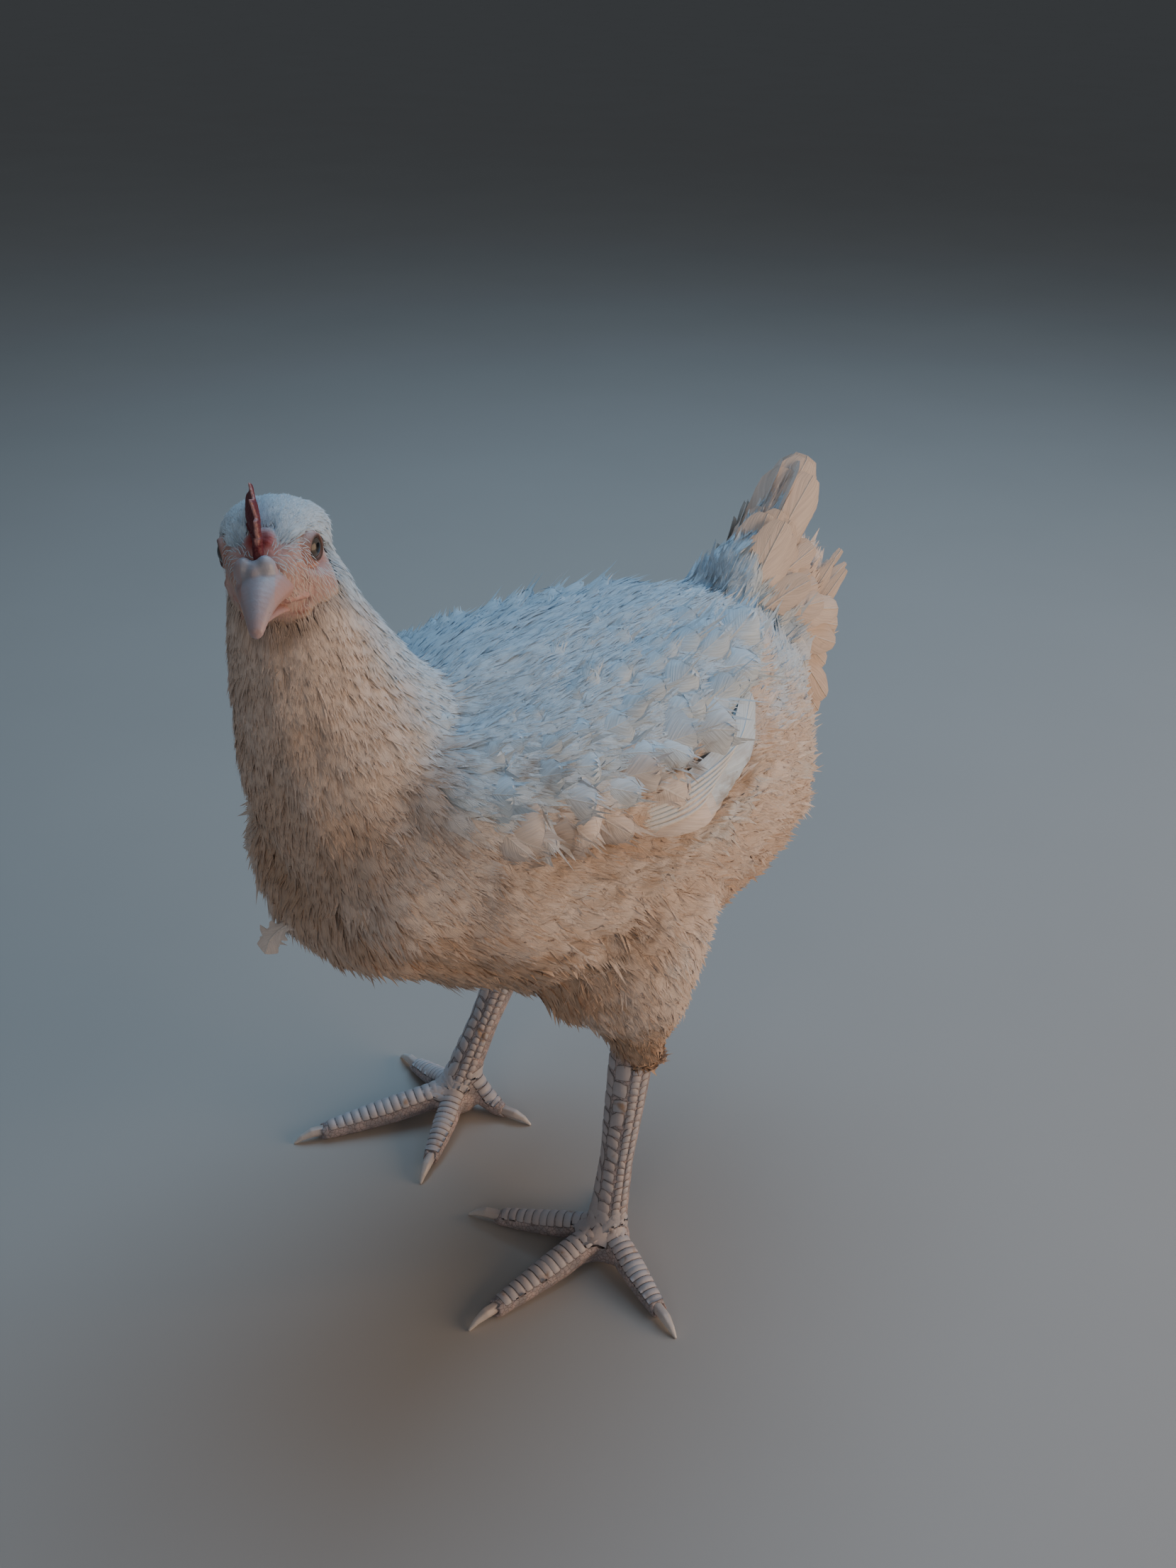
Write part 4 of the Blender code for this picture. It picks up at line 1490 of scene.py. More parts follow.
    def sunk(self, outline: Piece) -> Piece:
        """A copy of the outline, pushed in by the depth of the coat.

        Args:
            outline: the outline of the plumage.

        Returns:
            The pushed copy.
        """
        made = linked("skin", outline.data.copy())
        points, normals = coordinates(made.data), normals_of(made.data)
        _, sizes = self.lie.read(points)
        depth = sizes[:, 0] + self.grow
        face = self.face_share(points)
        depth = depth * (1 - face) + self.grow * face
        tree = BVHTree.FromObject(made, bpy.context.evaluated_depsgraph_get())
        for i, (point, normal) in enumerate(zip(points.tolist(), normals)):
            start = Vector(point) - Vector(normal) * 1e-5
            _, _, _, reach = tree.ray_cast(start, Vector(-normal), 0.05)
            if reach is not None:
                depth[i] = min(depth[i], reach * 0.3)
        set_coordinates(made.data, self.trim(points - normals * depth[:, None], self.skin_tail_share))
        smoothed(made, 4)
        return made

    def face_share(self, points: Rows) -> Rows:
        """How bare the head is: 1 on the face, 0 on crown, nape and neck.

        Args:
            points: rows of coordinates.

        Returns:
            A share for each point.
        """
        local = in_head(points)
        x, y, z = np.abs(local[:, 0]), local[:, 1], local[:, 2]
        edge, rim = self.bare_edge, 0.12
        ring = np.sqrt(((y + 0.0016) / 0.0072) ** 2 + ((z - 0.0002) / 0.0078) ** 2)
        round_eye = fade(ring - 1, rim) * (x > 0.004)
        lores = fade(y + 0.001, edge) * fade(z - 0.0098 + 0.3 * x, edge) * fade(-(z + 0.0118), edge)
        chin = fade(y + 0.0125, edge) * fade(z + 0.01, edge) * fade(-(z + 0.0145), edge)
        crest = np.sqrt((x / 0.0056) ** 2 + ((y + 0.0118) / 0.0064) ** 2 + ((z - 0.0096) / 0.0046) ** 2)
        near = lengths_of(local) < 0.035
        return np.maximum.reduce((round_eye, lores, chin, fade(crest - 1, rim))) * near

    def build(self, outline: Piece, plumage: Plumage) -> Piece:
        """Makes the skin.

        Args:
            outline: the outline of the plumage.
            plumage: the coat's finish, whose markings the skin shares.

        Returns:
            The finished skin.
        """
        made = self.sunk(outline)
        legs = copy_of("legs", LEG_NODES, 0.0002)
        extras = [legs, self.rump(), *self.webs()]
        activate(made)
        for extra in extras:
            extra.select_set(True)
        bpy.ops.object.join()
        remeshed(made, self.voxel, 3)
        self.lighten(made)
        self.refine_head(made)
        self.shape_head(made)
        self.rest_on_floor(made)
        self.mark(made)
        return finish_piece(made, Flesh().skin(plumage), "plumage", *FLESH, "tail", *LEG_NODES)

    def rump(self) -> Piece:
        """The root of the tail, which the tail feathers grow from."""
        return ball(self.rump_radii, BODY @ Vector(self.tail_root))

    def webs(self) -> list[Piece]:
        """The small webs between the roots of the front toes.

        Returns:
            One object for each web.
        """
        made = []
        for leg in LEGS:
            paths = {toe.name: leg.path(toe, 20)[0] for toe in leg.toes}
            for one, two, reach in (("inner", "middle", 6), ("middle", "outer", 8)):
                a, b, root = paths[one][reach], paths[two][reach], paths[one][0]
                inner = (a + b + root * 0.9) / 2.9
                corners = [root, a, inner, b]
                mesh = bmesh.new()
                high = [mesh.verts.new((p.x, p.y, min(p.z, self.web_top) * 0.95 + 0.0006)) for p in corners]
                low = [mesh.verts.new((p.x, p.y, self.web_bottom)) for p in corners]
                mesh.faces.new(high)
                mesh.faces.new(low[::-1])
                for i in range(4):
                    j = (i + 1) % 4
                    mesh.faces.new((low[i], low[j], high[j], high[i]))
                bmesh.ops.recalc_face_normals(mesh, faces=mesh.faces)
                held = bpy.data.meshes.new(f"web_{leg.side}_{one}")
                mesh.to_mesh(held)
                mesh.free()
                made.append(linked(held.name, held))
        return made

    def lighten(self, skin: Piece) -> None:
        """Takes points away where the coat hides the skin.

        Args:
            skin: the skin.
        """
        points = coordinates(skin.data)
        head = lengths_of(in_head(points)) < 0.03
        legs = points[:, 2] < self.leg_height
        group = skin.vertex_groups.new(name="hidden")
        group.add(np.nonzero(~(head | legs))[0].tolist(), 1.0, "REPLACE")
        share = self.hidden_share
        apply_modifier(skin, "DECIMATE", ratio=share, vertex_group="hidden", vertex_group_factor=1.0)
        skin.vertex_groups.clear()

    def refine_head(self, skin: Piece) -> None:
        """Divides each edge of the bare face in three.

        Args:
            skin: the skin.
        """
        mesh = bmesh.new()
        mesh.from_mesh(skin.data)
        inverse = HEAD.inverted()
        edges = set()
        for face in mesh.faces:
            at = inverse @ face.calc_center_median()
            if at.length < self.refined and at.y < 0.013:
                edges.update(face.edges)
        bmesh.ops.subdivide_edges(mesh, edges=list(edges), cuts=2, use_grid_fill=True, smooth=0.0)
        bmesh.ops.triangulate(mesh, faces=[face for face in mesh.faces if len(face.verts) > 4])
        mesh.to_mesh(skin.data)
        mesh.free()
        skin.data.shade_smooth()

    def shape_head(self, skin: Piece) -> None:
        """Sets the eyes' openings with their lids, and the folds of the face.

        Args:
            skin: the skin.
        """
        points, normals = coordinates(skin.data), normals_of(skin.data)
        local = in_head(points)
        near = lengths_of(local) < self.head_reach
        picked = local[near]
        outward = facing_in_head(normals[near])
        height = np.zeros(len(picked))
        for stroke in self.strokes:
            for side in (1, -1):
                if stroke.at[0] > 0 or side > 0:
                    height += bump_at(picked, mirrored(stroke.at, side), stroke.radii) * stroke.height
        for fold in FOLDS:
            height += fold.near(picked) * fold.height
        grain = np.sin(picked[:, 1] * 5200 + 2.2 * np.sin(picked[:, 2] * 2600)) * np.sin(
            picked[:, 2] * 4700 + 1.7 * np.sin(picked[:, 1] * 2100)
        )
        bare = self.face_share(points[near])
        height += grain * self.grain * bare
        picked = picked + outward * height[:, None]
        for side in (1, -1):
            picked = self.lids(picked, side)
        points[near] = moved(HEAD, picked)
        set_coordinates(skin.data, points)

    def lids(self, points: Rows, side: int) -> Rows:
        """Wraps the skin round one eye: a cup behind the eyeball, a rim and two folds of the lids.

        Args:
            points: rows of coordinates in the head's frame.
            side: 1 for the left eye, -1 for the right.

        Returns:
            The moved points.
        """
        middle = np.array(mirrored(self.eye, side))
        axis = unit(np.array(mirrored(self.look, side)))
        gap = points - middle
        along = gap @ axis
        flat = gap - along[:, None] * axis
        far = lengths_of(flat)
        corner = np.array((0.0, -1.0, -0.25))
        forward = unit(corner - axis * (corner @ axis))
        share = np.abs(flat @ forward) / np.maximum(far, 1e-6)
        opening = self.opening * (0.97 + 0.13 * share**3)
        front = along > -0.2 * self.eye_radius
        rise = sum(size * ripple(far - opening - away, wide) for size, away, wide in self.lid_folds)
        lidded = self.eye_radius + 0.0004
        cap = np.sqrt(np.maximum(lidded**2 - far**2, 0.0))
        wrap = fade(far - opening - 0.0022, 0.0006)
        outer = along * (1 - wrap) + cap * wrap
        under = np.sqrt(np.maximum((self.eye_radius - 0.00015) ** 2 - far**2, 0.0)) - 0.0006
        placed = under + (outer + rise - under) * eased(ramp(far - opening + self.lip, self.lip))
        placed = np.where(far < opening - self.lip, -0.35 * self.eye_radius, placed)
        result = middle + flat + placed[:, None] * axis
        use = front & (far < self.opening + 0.0065)
        return np.where(use[:, None], result, points)

    def lid_distance(self, points: Rows) -> Rows:
        """How far points lie outside the opening of the lids.

        Args:
            points: rows of coordinates in the head's frame.

        Returns:
            A distance for each point, less than 0 inside the opening.
        """
        half = folded(points) - np.array(self.eye)
        axis = unit(np.array(self.look))
        along = half @ axis
        far = lengths_of(half - along[:, None] * axis)
        return np.where(along > 0, far - self.opening, 0.01)

    def lid_margin(self, points: Rows) -> Rows:
        """How near points are to the dark margin of the lids, in the head's frame."""
        return ripple(self.lid_distance(points) + 0.0001, 0.00075)

    def rest_on_floor(self, skin: Piece) -> None:
        """Keeps the soles on the floor."""
        set_coordinates(skin.data, on_floor(coordinates(skin.data)))

    def mark(self, skin: Piece) -> None:
        """Stores how red, sore, shaded, scaly and feathered the skin is at each point.

        Args:
            skin: the skin.
        """
        points = coordinates(skin.data)
        local = in_head(points)
        half = folded(local)
        blush = 0.42 * bump_at(half, (0.0125, -0.0015, 0.0012), (0.006, 0.0068, 0.007))
        blush += 0.75 * UNDER_LIP.near(local) + 0.35 * LIP.near(local)
        blush += 0.5 * bump_at(half, (0.0, -0.013, 0.011), (0.004, 0.005, 0.004))
        wound = 1.05 * bump_at(half, (0.0022, -0.0118, 0.01), (0.0048, 0.006, 0.0044))
        wound += 0.8 * bump_at(half, (0.0094, -0.0132, -0.0122), (0.0022, 0.0022, 0.0018))
        shade = 0.75 * MOUTH.near(local) + self.lid_margin(local)
        shade += 0.5 * bump_at(half, (0.013, 0.011, -0.001), (0.003, 0.0018, 0.0022))
        leg = np.zeros(len(points))
        for hock in (np.array(Vector(each.hock)) for each in LEGS):
            gap = points - hock
            near = lengths_of(gap[:, :2]) < 0.075
            leg = np.maximum(leg, near * fade(points[:, 2] - hock[2] - 0.003, 0.0016))
            leg = np.maximum(leg, fade(lengths_of(gap) - 0.0085, 0.0006))
        leg = np.maximum(leg, points[:, 2] < 0.04)
        feathered = (1 - self.face_share(points)) * (1 - leg)
        for name, values in (
            ("blush", blush),
            ("wound", wound),
            ("shade", shade),
            ("leg", leg),
            ("feathered", feathered),
            (WARMTH_AND_LIGHT, warmth_and_light_at(points, normals_of(skin.data))),
        ):
            store(skin, name, np.clip(values, 0, 1))


@dataclass
class Bill:
    """Both halves of the bill, with the soft lids over the nostrils."""

    voxel: float = 0.00035
    nostril: Point = (0.0026, -0.0172, 0.0034)
    nostril_radii: Point = (0.0025, 0.0031, 0.0043)
    aside: float = -0.001
    bridge: Point = (0.0, -0.018, 0.002)
    bridge_radii: Point = (0.0024, 0.0036, 0.0044)

    def build(self) -> None:
        """Makes and dresses the upper and the lower half."""
        horn = Horn("bill_horn", (0.56, 0.34, 0.31), (0.4, 0.42, 0.5), 0.38)
        upper = copy_of("bill_top", ("bill_upper",), 0.0001)
        lumps = [self.lump(side, self.nostril, self.nostril_radii) for side in (1, -1)]
        lumps.append(self.lump(0, self.bridge, self.bridge_radii))
        activate(upper)
        for lump in lumps:
            lump.select_set(True)
        bpy.ops.object.join()
        lower = copy_of("bill_bottom", ("bill_lower",), 0.0001)
        for piece, node in ((upper, "bill_upper"), (lower, "bill_lower")):
            remeshed(piece, self.voxel, 26)
            self.shape(piece, node == "bill_upper")
            finish_piece(piece, horn.material(), "bill", node)

    def lump(self, side: int, place: Point, radii: Point) -> Piece:
        """The soft lid over one nostril, or the bridge between them.

        Args:
            side: 1 for the left, -1 for the right, 0 for the middle.
            place: its middle on the left side, in the head's frame.
            radii: its size.

        Returns:
            An ellipsoid at its place.
        """
        made = ball(radii)
        made.data.transform(HEAD @ Matrix.Translation(self.placed(place, side)))
        return made

    def placed(self, place: Point, side: int) -> Point:
        """A place of the left side, or its reflection, on this slightly crooked bill."""
        return (place[0] * side + self.aside, place[1], place[2])

    def shape(self, piece: Piece, upper: bool) -> None:
        """Cuts the crease under the nostrils and stores the reach towards the tip, with painted skylight
        along the ridge.

        Args:
            piece: half of the bill.
            upper: whether it is the upper half.
        """
        points, normals = coordinates(piece.data), normals_of(piece.data)
        local = in_head(points)
        lump = np.zeros(len(points))
        wide = tuple(radius * 1.25 for radius in self.nostril_radii)
        for side in (1, -1):
            lump = np.maximum(lump, bump_at(local, self.placed(self.nostril, side), wide))
        root = ramp(local[:, 1] + 0.034, 0.017)
        local[:, 0] *= 1 + (0.42 if upper else 0.3) * root**1.6 * (1 - lump)
        droop = ramp(np.abs(local[:, 0]), 0.0075) ** 2
        local[:, 2] -= 0.0016 * droop * root * (1 - lump)
        half = np.concatenate([np.abs(local[:, :1] - self.aside), local[:, 1:]], 1)
        height = np.zeros(len(points))
        if upper:
            height -= 0.0006 * bump_at(half, (0.0036, -0.02, 0.0006), (0.0022, 0.0014, 0.0008))
            height += 0.0002 * bump_at(local, (0.0, -0.03, 0.0), (0.0016, 0.013, 0.01))
        height += 0.000012 * np.sin(local[:, 1] * 3900 + 0.8 * np.sin(local[:, 2] * 900))
        set_coordinates(piece.data, moved(HEAD, local) + normals * height[:, None])
        reach = ramp(-0.0165 - local[:, 1], 0.02)
        # painted skylight: the top of the ridge takes the tip's blue grey
        top = ramp(local[:, 2] + 0.005, 0.007) * (np.abs(local[:, 0]) < 0.0045)
        store(piece, "reach", np.clip(0.55 * top + reach * 0.45 + lump, 0, 1))


@dataclass
class Comb:
    """The small single comb and the two wattles, in one kind of flesh."""

    voxel: float = 0.00032
    lean: float = 0.0018
    sway: float = 0.0024
    aside: float = -0.0012

    def build(self) -> None:
        """Makes and dresses the comb and both wattles."""
        flesh = Flesh().comb()
        for node in ("comb", "wattle_left", "wattle_right"):
            piece = copy_of(f"{node}_flesh", (node,), 0.0002)
            remeshed(piece, self.voxel, 10)
            points, normals = coordinates(piece.data), normals_of(piece.data)
            local = in_head(points)
            facing = facing_in_head(normals)
            folds = np.sin(local[:, 1] * 2400 + 2 * np.sin(local[:, 2] * 1300)) * np.sin(local[:, 2] * 1900)
            local += facing * (0.00006 * folds)[:, None]
            # painted light and shade: faces turned to either side stay dark, the edges facing front, back and
            # up turn pale
            rim = np.clip(1.15 - 1.3 * np.abs(facing[:, 0]), 0, 1)
            if node == "comb":
                local, rim = self.curl(local, rim)
            set_coordinates(piece.data, moved(HEAD, local))
            store(piece, "rise", rim)
            finish_piece(piece, flesh, "comb", node)

    def curl(self, local: Rows, rim: Rows) -> tuple[Rows, Rows]:
        """Thins the blade and lets its front edge curl to the left half way up.

        Args:
            local: the comb's points in the head's frame.
            rim: how near each point is to the blade's rim.

        Returns:
            The moved points and the rim, paler towards the front edge as painted light.
        """
        up = ramp(local[:, 2] - 0.0075, 0.014)
        front = np.clip(1 - (local[:, 1] - np.interp(up, (0, 1), (-0.0185, -0.001))) / 0.01, 0, 1)
        middle = self.lean * up
        thin = np.where(up > 0.25, 0.9 - 0.5 * up, 1.0)
        local[:, 0] = middle * 0.4 + (local[:, 0] - middle) * thin
        swing = np.sin(math.pi * up**0.9)
        local[:, 0] += self.sway * swing * front**1.5 - 0.0016 * swing * (1 - front)
        local[:, 0] += self.aside * np.clip(up * 3, 0, 1)
        low = np.clip(1 - up / 0.4, 0, 1) * front
        local[:, 1] += 0.0042 * low
        local[:, 2] += 0.0012 * low
        return local, rim * (0.3 + 0.7 * front) * np.clip(up * 5, 0, 1)


@dataclass
class Eye:
    """An eyeball with a raised clear front."""

    side: str
    at: Point = EYE_AT
    look: Point = EYE_LOOK
    radius: float = 0.00505

    def build(self) -> Piece:
        """Makes and dresses the eyeball.

        Returns:
            The eyeball.
        """
        sign = SIDES[self.side]
        deselect()
        bpy.ops.mesh.primitive_uv_sphere_add(segments=64, ring_count=40, radius=self.radius)
        made = bpy.context.object
        made.name = made.data.name = f"eyeball_{self.side}"
        points = coordinates(made.data)
        far = lengths_of(points[:, :2]) / self.radius
        up = points[:, 2] > 0
        lens = np.where(up, 0.035 * np.clip(1 - (far / 0.62) ** 2, 0, 1), 0.0)
        points *= (1 + lens)[:, None]
        store(made, "look", np.where(up, far, 1.0))
        axis = Vector(mirrored(self.look, sign)).normalized()
        turn = axis.to_track_quat("Z", "Y").to_matrix().to_4x4()
        place = HEAD @ Matrix.Translation(mirrored(self.at, sign)) @ turn
        set_coordinates(made.data, moved(place, points))
        made.data.shade_smooth()
        return finish_piece(made, EyeFinish().material(), "eye", f"eye_{self.side}")


@dataclass
class Claws:
    """The claws of one foot."""

    leg: Leg
    voxel: float = 0.0004
    length: float = 0.013

    def build(self) -> None:
        """Makes and dresses each claw."""
        horn = Horn("claw_horn", (0.58, 0.51, 0.49), (0.78, 0.74, 0.71), 0.34)
        for toe in self.leg.toes:
            node = f"claw_{self.leg.side}_{toe.name}"
            piece = copy_of(f"{node}_horn", (node,), 0.0001)
            remeshed(piece, self.voxel, 5)
            points = on_floor(coordinates(piece.data))
            set_coordinates(piece.data, points)
            reach = 1 - lengths_of(points - np.array((*toe.end, 0.0))) / self.length
            store(piece, "reach", np.clip(reach, 0, 1))
            finish_piece(piece, horn.material(), "claws", node)


@dataclass
class Scales:
    """The horny plates of one leg: rows down the shank and bands across the toes.

    rows is how many large plates lie down the front, side_rows how many small ones beside them, spots are
    the lines of each plate's grid, and across_toe is half the angle that a band spans, in radians.
    """

    leg: Leg
    raise_by: float = 0.0006
    rows: int = 14
    side_rows: int = 25
    spots: tuple[float, ...] = (-1.0, -0.74, 0.0, 0.74, 1.0)
    across_toe: float = 1.22
    seed: int = SEED

    def build(self, skin: Surface) -> Piece:
        """Makes and dresses the plates.

        Args:
            skin: the leg's bare skin.

        Returns:
            The joined plates.
        """
        self.skin, self.rng = skin, np.random.default_rng(self.seed)
        self.points: list[Rows] = []
        self.faces: list[Rows] = []
        self.tones: list[Rows] = []
        self.rims: list[Rows] = []
        hock, foot = Vector(self.leg.hock), Vector(self.leg.foot)
        axis = (foot - hock).normalized()
        front = (Vector((*self.leg.toes[1].end, 0)) - Vector((foot.x, foot.y, 0))).normalized()
        self.front = (front - axis * front.dot(axis)).normalized()
        self.side = axis.cross(self.front).normalized()
        for half, (middle, wide) in enumerate(((0.44, 0.52), (-0.44, 0.44))):
            edges = np.cumsum(self.rng.uniform(0.6, 1.4, self.rows + half))
            edges = 0.01 + 1.09 * np.concatenate([[0.0], edges]) / edges[-1]
            for low, high in zip(edges[:-1], edges[1:]):
                shift = self.rng.normal(0, 0.05)
                self.plate((low + high) / 2, (high - low) * 1.02, middle + shift, wide)
        for half, (middle, wide) in enumerate(((1.15, 0.26), (-1.15, 0.26), (1.65, 0.24), (-1.65, 0.24))):
            for k in range(self.side_rows):
                share = 0.02 + 0.98 * (k + 0.5 * (half % 2)) / self.side_rows
                self.plate(share, 1.04 / self.side_rows, middle, wide)
        for toe in self.leg.toes:
            path, _ = self.leg.path(toe, 40)
            first = 0.02 if toe.name == "middle" else 0.06
            for k in range(toe.scales):
                t = first + (1 - first) * (k + 0.5) / toe.scales
                start = self.along(path, t - 0.52 * (1 - first) / toe.scales)
                self.band(start, self.along(path, t + 0.56 * (1 - first) / toe.scales))
        return finish_piece(self.join(), ScaleFinish().material(), "legs")

    def along(self, path: list[Vector], share: float) -> Vector:
        """A place on a path.

        Args:
            path: its points.
            share: how far along the place lies.

        Returns:
            The place.
        """
        step = min(max(share, 0.0), 0.9999) * (len(path) - 1)
        low = int(step)
        return path[low].lerp(path[low + 1], step - low)

    def plate(self, share: float, span: float, middle: float, wide: float) -> None:
        """One plate of the shank, round an angle from the front.

        Args:
            share: how far down the plate's middle lies.
            span: the plate's length as a share of the shank's.
            middle: the angle of its middle, in radians.
            wide: half its width, in radians.
        """
        hock, foot = Vector(self.leg.hock), Vector(self.leg.foot)
        share += self.rng.normal(0, 0.0015)
        skew, bow = self.rng.normal(0, 0.12), self.rng.uniform(0.0, 0.22)
        grid = []
        for v in self.spots:
            for u in self.spots:
                angle = middle + wide * u * (1 - 0.14 * v * v)
                level = share + span * (0.5 * v * (1 - 0.16 * u * u) + bow * (u * u - 0.5) + skew * u)
                out = self.front * math.cos(angle) + self.side * math.sin(angle)
                grid.append((hock.lerp(foot, level), out, u, v))
        self.lay(grid, 4)

    def band(self, start: Vector, end: Vector) -> None:
        """One plate across a toe.

        Args:
            start: the toe's middle line where the plate starts.
            end: the middle line where it ends.
        """
        across = (end - start).cross(Vector((0, 0, 1))).normalized()
        up = across.cross(end - start).normalized()
        grid = []
        for v in self.spots:
            for u in np.linspace(-1, 1, 9):
                angle = self.across_toe * u
                middle = start.lerp(end, 0.5 + 0.5 * v * (1 - 0.15 * u * u) - 0.1 * u * u)
                grid.append((middle, up * math.cos(angle) + across * math.sin(angle), u, v))
        self.lay(grid, 8)

    def lay(self, grid: list[tuple[Vector, Vector, float, float]], columns: int) -> None:
        """Lays a plate's grid on the skin and keeps it.

        Args:
            grid: for each point its start, its direction and its place on the plate.
            columns: faces across the plate, which is four long.
        """
        points, rims = [], []
        height = self.raise_by * self.rng.uniform(0.8, 1.2)
        for start, out, u, v in grid:
            hit, normal, _, _ = self.skin.tree.ray_cast(start, out, 0.02)
            if hit is None:
                return
            edge = max(abs(u), abs(v))
            points.append(hit + normal * (height * (1 - edge**4) - 0.00022 * edge**6))
            rims.append(max(abs(v) ** 5, abs(u) ** 8))
        shift = sum(len(block) for block in self.points)
        self.points.append(np.array(points))
        self.faces.append(grid_quads(4, columns) + shift)
        self.rims.append(np.array(rims))
        self.tones.append(np.full(len(points), self.rng.random()))

    def join(self) -> Piece:
        """Joins the plates, facing outwards.

        Returns:
            The joined plates.
        """
        points = np.concatenate(self.points)
        faces = np.concatenate(self.faces)
        made = object_of(f"scales_{self.leg.side}", points, faces, NO_TRIANGLES)
        store(made, "rim", np.concatenate(self.rims))
        store(made, TONE, np.concatenate(self.tones))
        top = np.array(self.leg.hock)
        shank = np.array(self.leg.foot) - top
        corners = points[faces]
        middle = corners.mean(1)
        nearest = top + np.clip((middle - top) @ shank / (shank @ shank), 0, 1)[:, None] * shank
        on_toe = middle[:, 2] < 0.018
        nearest[on_toe] = middle[on_toe] * (1, 1, 0)
        facing = np.cross(corners[:, 1] - corners[:, 0], corners[:, 3] - corners[:, 0])
        self.flip(made, (facing * (middle - nearest)).sum(1) < 0)
        return made

    def flip(self, made: Piece, wrong: Rows) -> None:
        """Turns faces round.

        Args:
            made: the object whose mesh changes.
            wrong: a mark for each face, set where it faces inwards.
        """
        mesh = bmesh.new()
        mesh.from_mesh(made.data)
        mesh.faces.ensure_lookup_table()
        bmesh.ops.reverse_faces(mesh, faces=[mesh.faces[i] for i in np.nonzero(wrong)[0]])
        mesh.to_mesh(made.data)
        mesh.free()


class Unwrap:
    """The skin's own unwrap, read at any place, for the coat's bake map."""

    def __init__(self, skin: Piece) -> None:
        """Unwraps a light copy of the skin.

        Args:
            skin: the finished skin.
        """
        made = linked("unwrap", skin.data.copy())
        apply_modifier(made, "DECIMATE", ratio=0.05)
        activate(made)
        for layer in list(made.data.uv_layers):
            made.data.uv_layers.remove(layer)
        made.data.uv_layers.new(name=BAKE_MAP)
        bpy.ops.object.mode_set(mode="EDIT")
        bpy.ops.mesh.select_all(action="SELECT")
        bpy.ops.uv.smart_project(angle_limit=math.radians(66), island_margin=0.003)
        bpy.ops.object.mode_set(mode="OBJECT")
        mesh = made.data
        mesh.calc_loop_triangles()
        count = len(mesh.loop_triangles)
        corners, loops = np.empty(count * 3, np.int32), np.empty(count * 3, np.int32)
        mesh.loop_triangles.foreach_get("vertices", corners)
        mesh.loop_triangles.foreach_get("loops", loops)
        places = np.empty(len(mesh.loops) * 2, np.float32)
        mesh.uv_layers[BAKE_MAP].data.foreach_get("uv", places)
        self.corners = coordinates(mesh)[corners.reshape(-1, 3)]
        self.places = places.reshape(-1, 2)[loops.reshape(-1, 3)]
        self.tree = BVHTree.FromPolygons(coordinates(mesh).tolist(), corners.reshape(-1, 3).tolist())
        bpy.data.objects.remove(made)

    def read(self, points: Rows) -> Rows:
        """The unwrap's place nearest to each point.

        Args:
            points: rows of coordinates.

        Returns:
            Rows of two map coordinates.
        """
        hits = [self.tree.find_nearest(point) for point in points.tolist()]
        faces = np.array([hit[2] for hit in hits])
        spots = np.array([hit[0] for hit in hits])
        a, b, c = (self.corners[faces, i] for i in range(3))
        whole = np.cross(b - a, c - a)
        size = np.maximum((whole**2).sum(1), 1e-18)
        v = (np.cross(spots - a, c - a) * whole).sum(1) / size
        w = (np.cross(b - a, spots - a) * whole).sum(1) / size
        shares = np.stack([1 - v - w, v, w], 1)
        return (self.places[faces] * shares[:, :, None]).sum(1)


@dataclass(frozen=True)
class Patch:
    """A layer of the coat over one part of the body.

    spacing, length and width scale the guides' sizes, stray turns the feathers out of line, lift raises
    their tips, and root is how deep they start as a share of the coat's depth. The layer grows where the
    looseness is between its limits and the outline's normal rises by at least up, from behind to ahead
    along the body, or on the bare face alone.
    """

    name: str
    outline: Vane
    spacing: float = 1.0
    length: float = 1.0
    width: float = 1.0
    rows: int = 6
    columns: int = 4
    barbs: int = 5
    stray: float = 0.12
    lift: float = 0.0
    least_fluff: float = 0.0
    most_fluff: float = 1.0
    cup: float = 0.22
    up: float = -1.1
    behind: float = -1.0
    ahead: float = 1.0
    face: bool = False
    root: float = 0.95


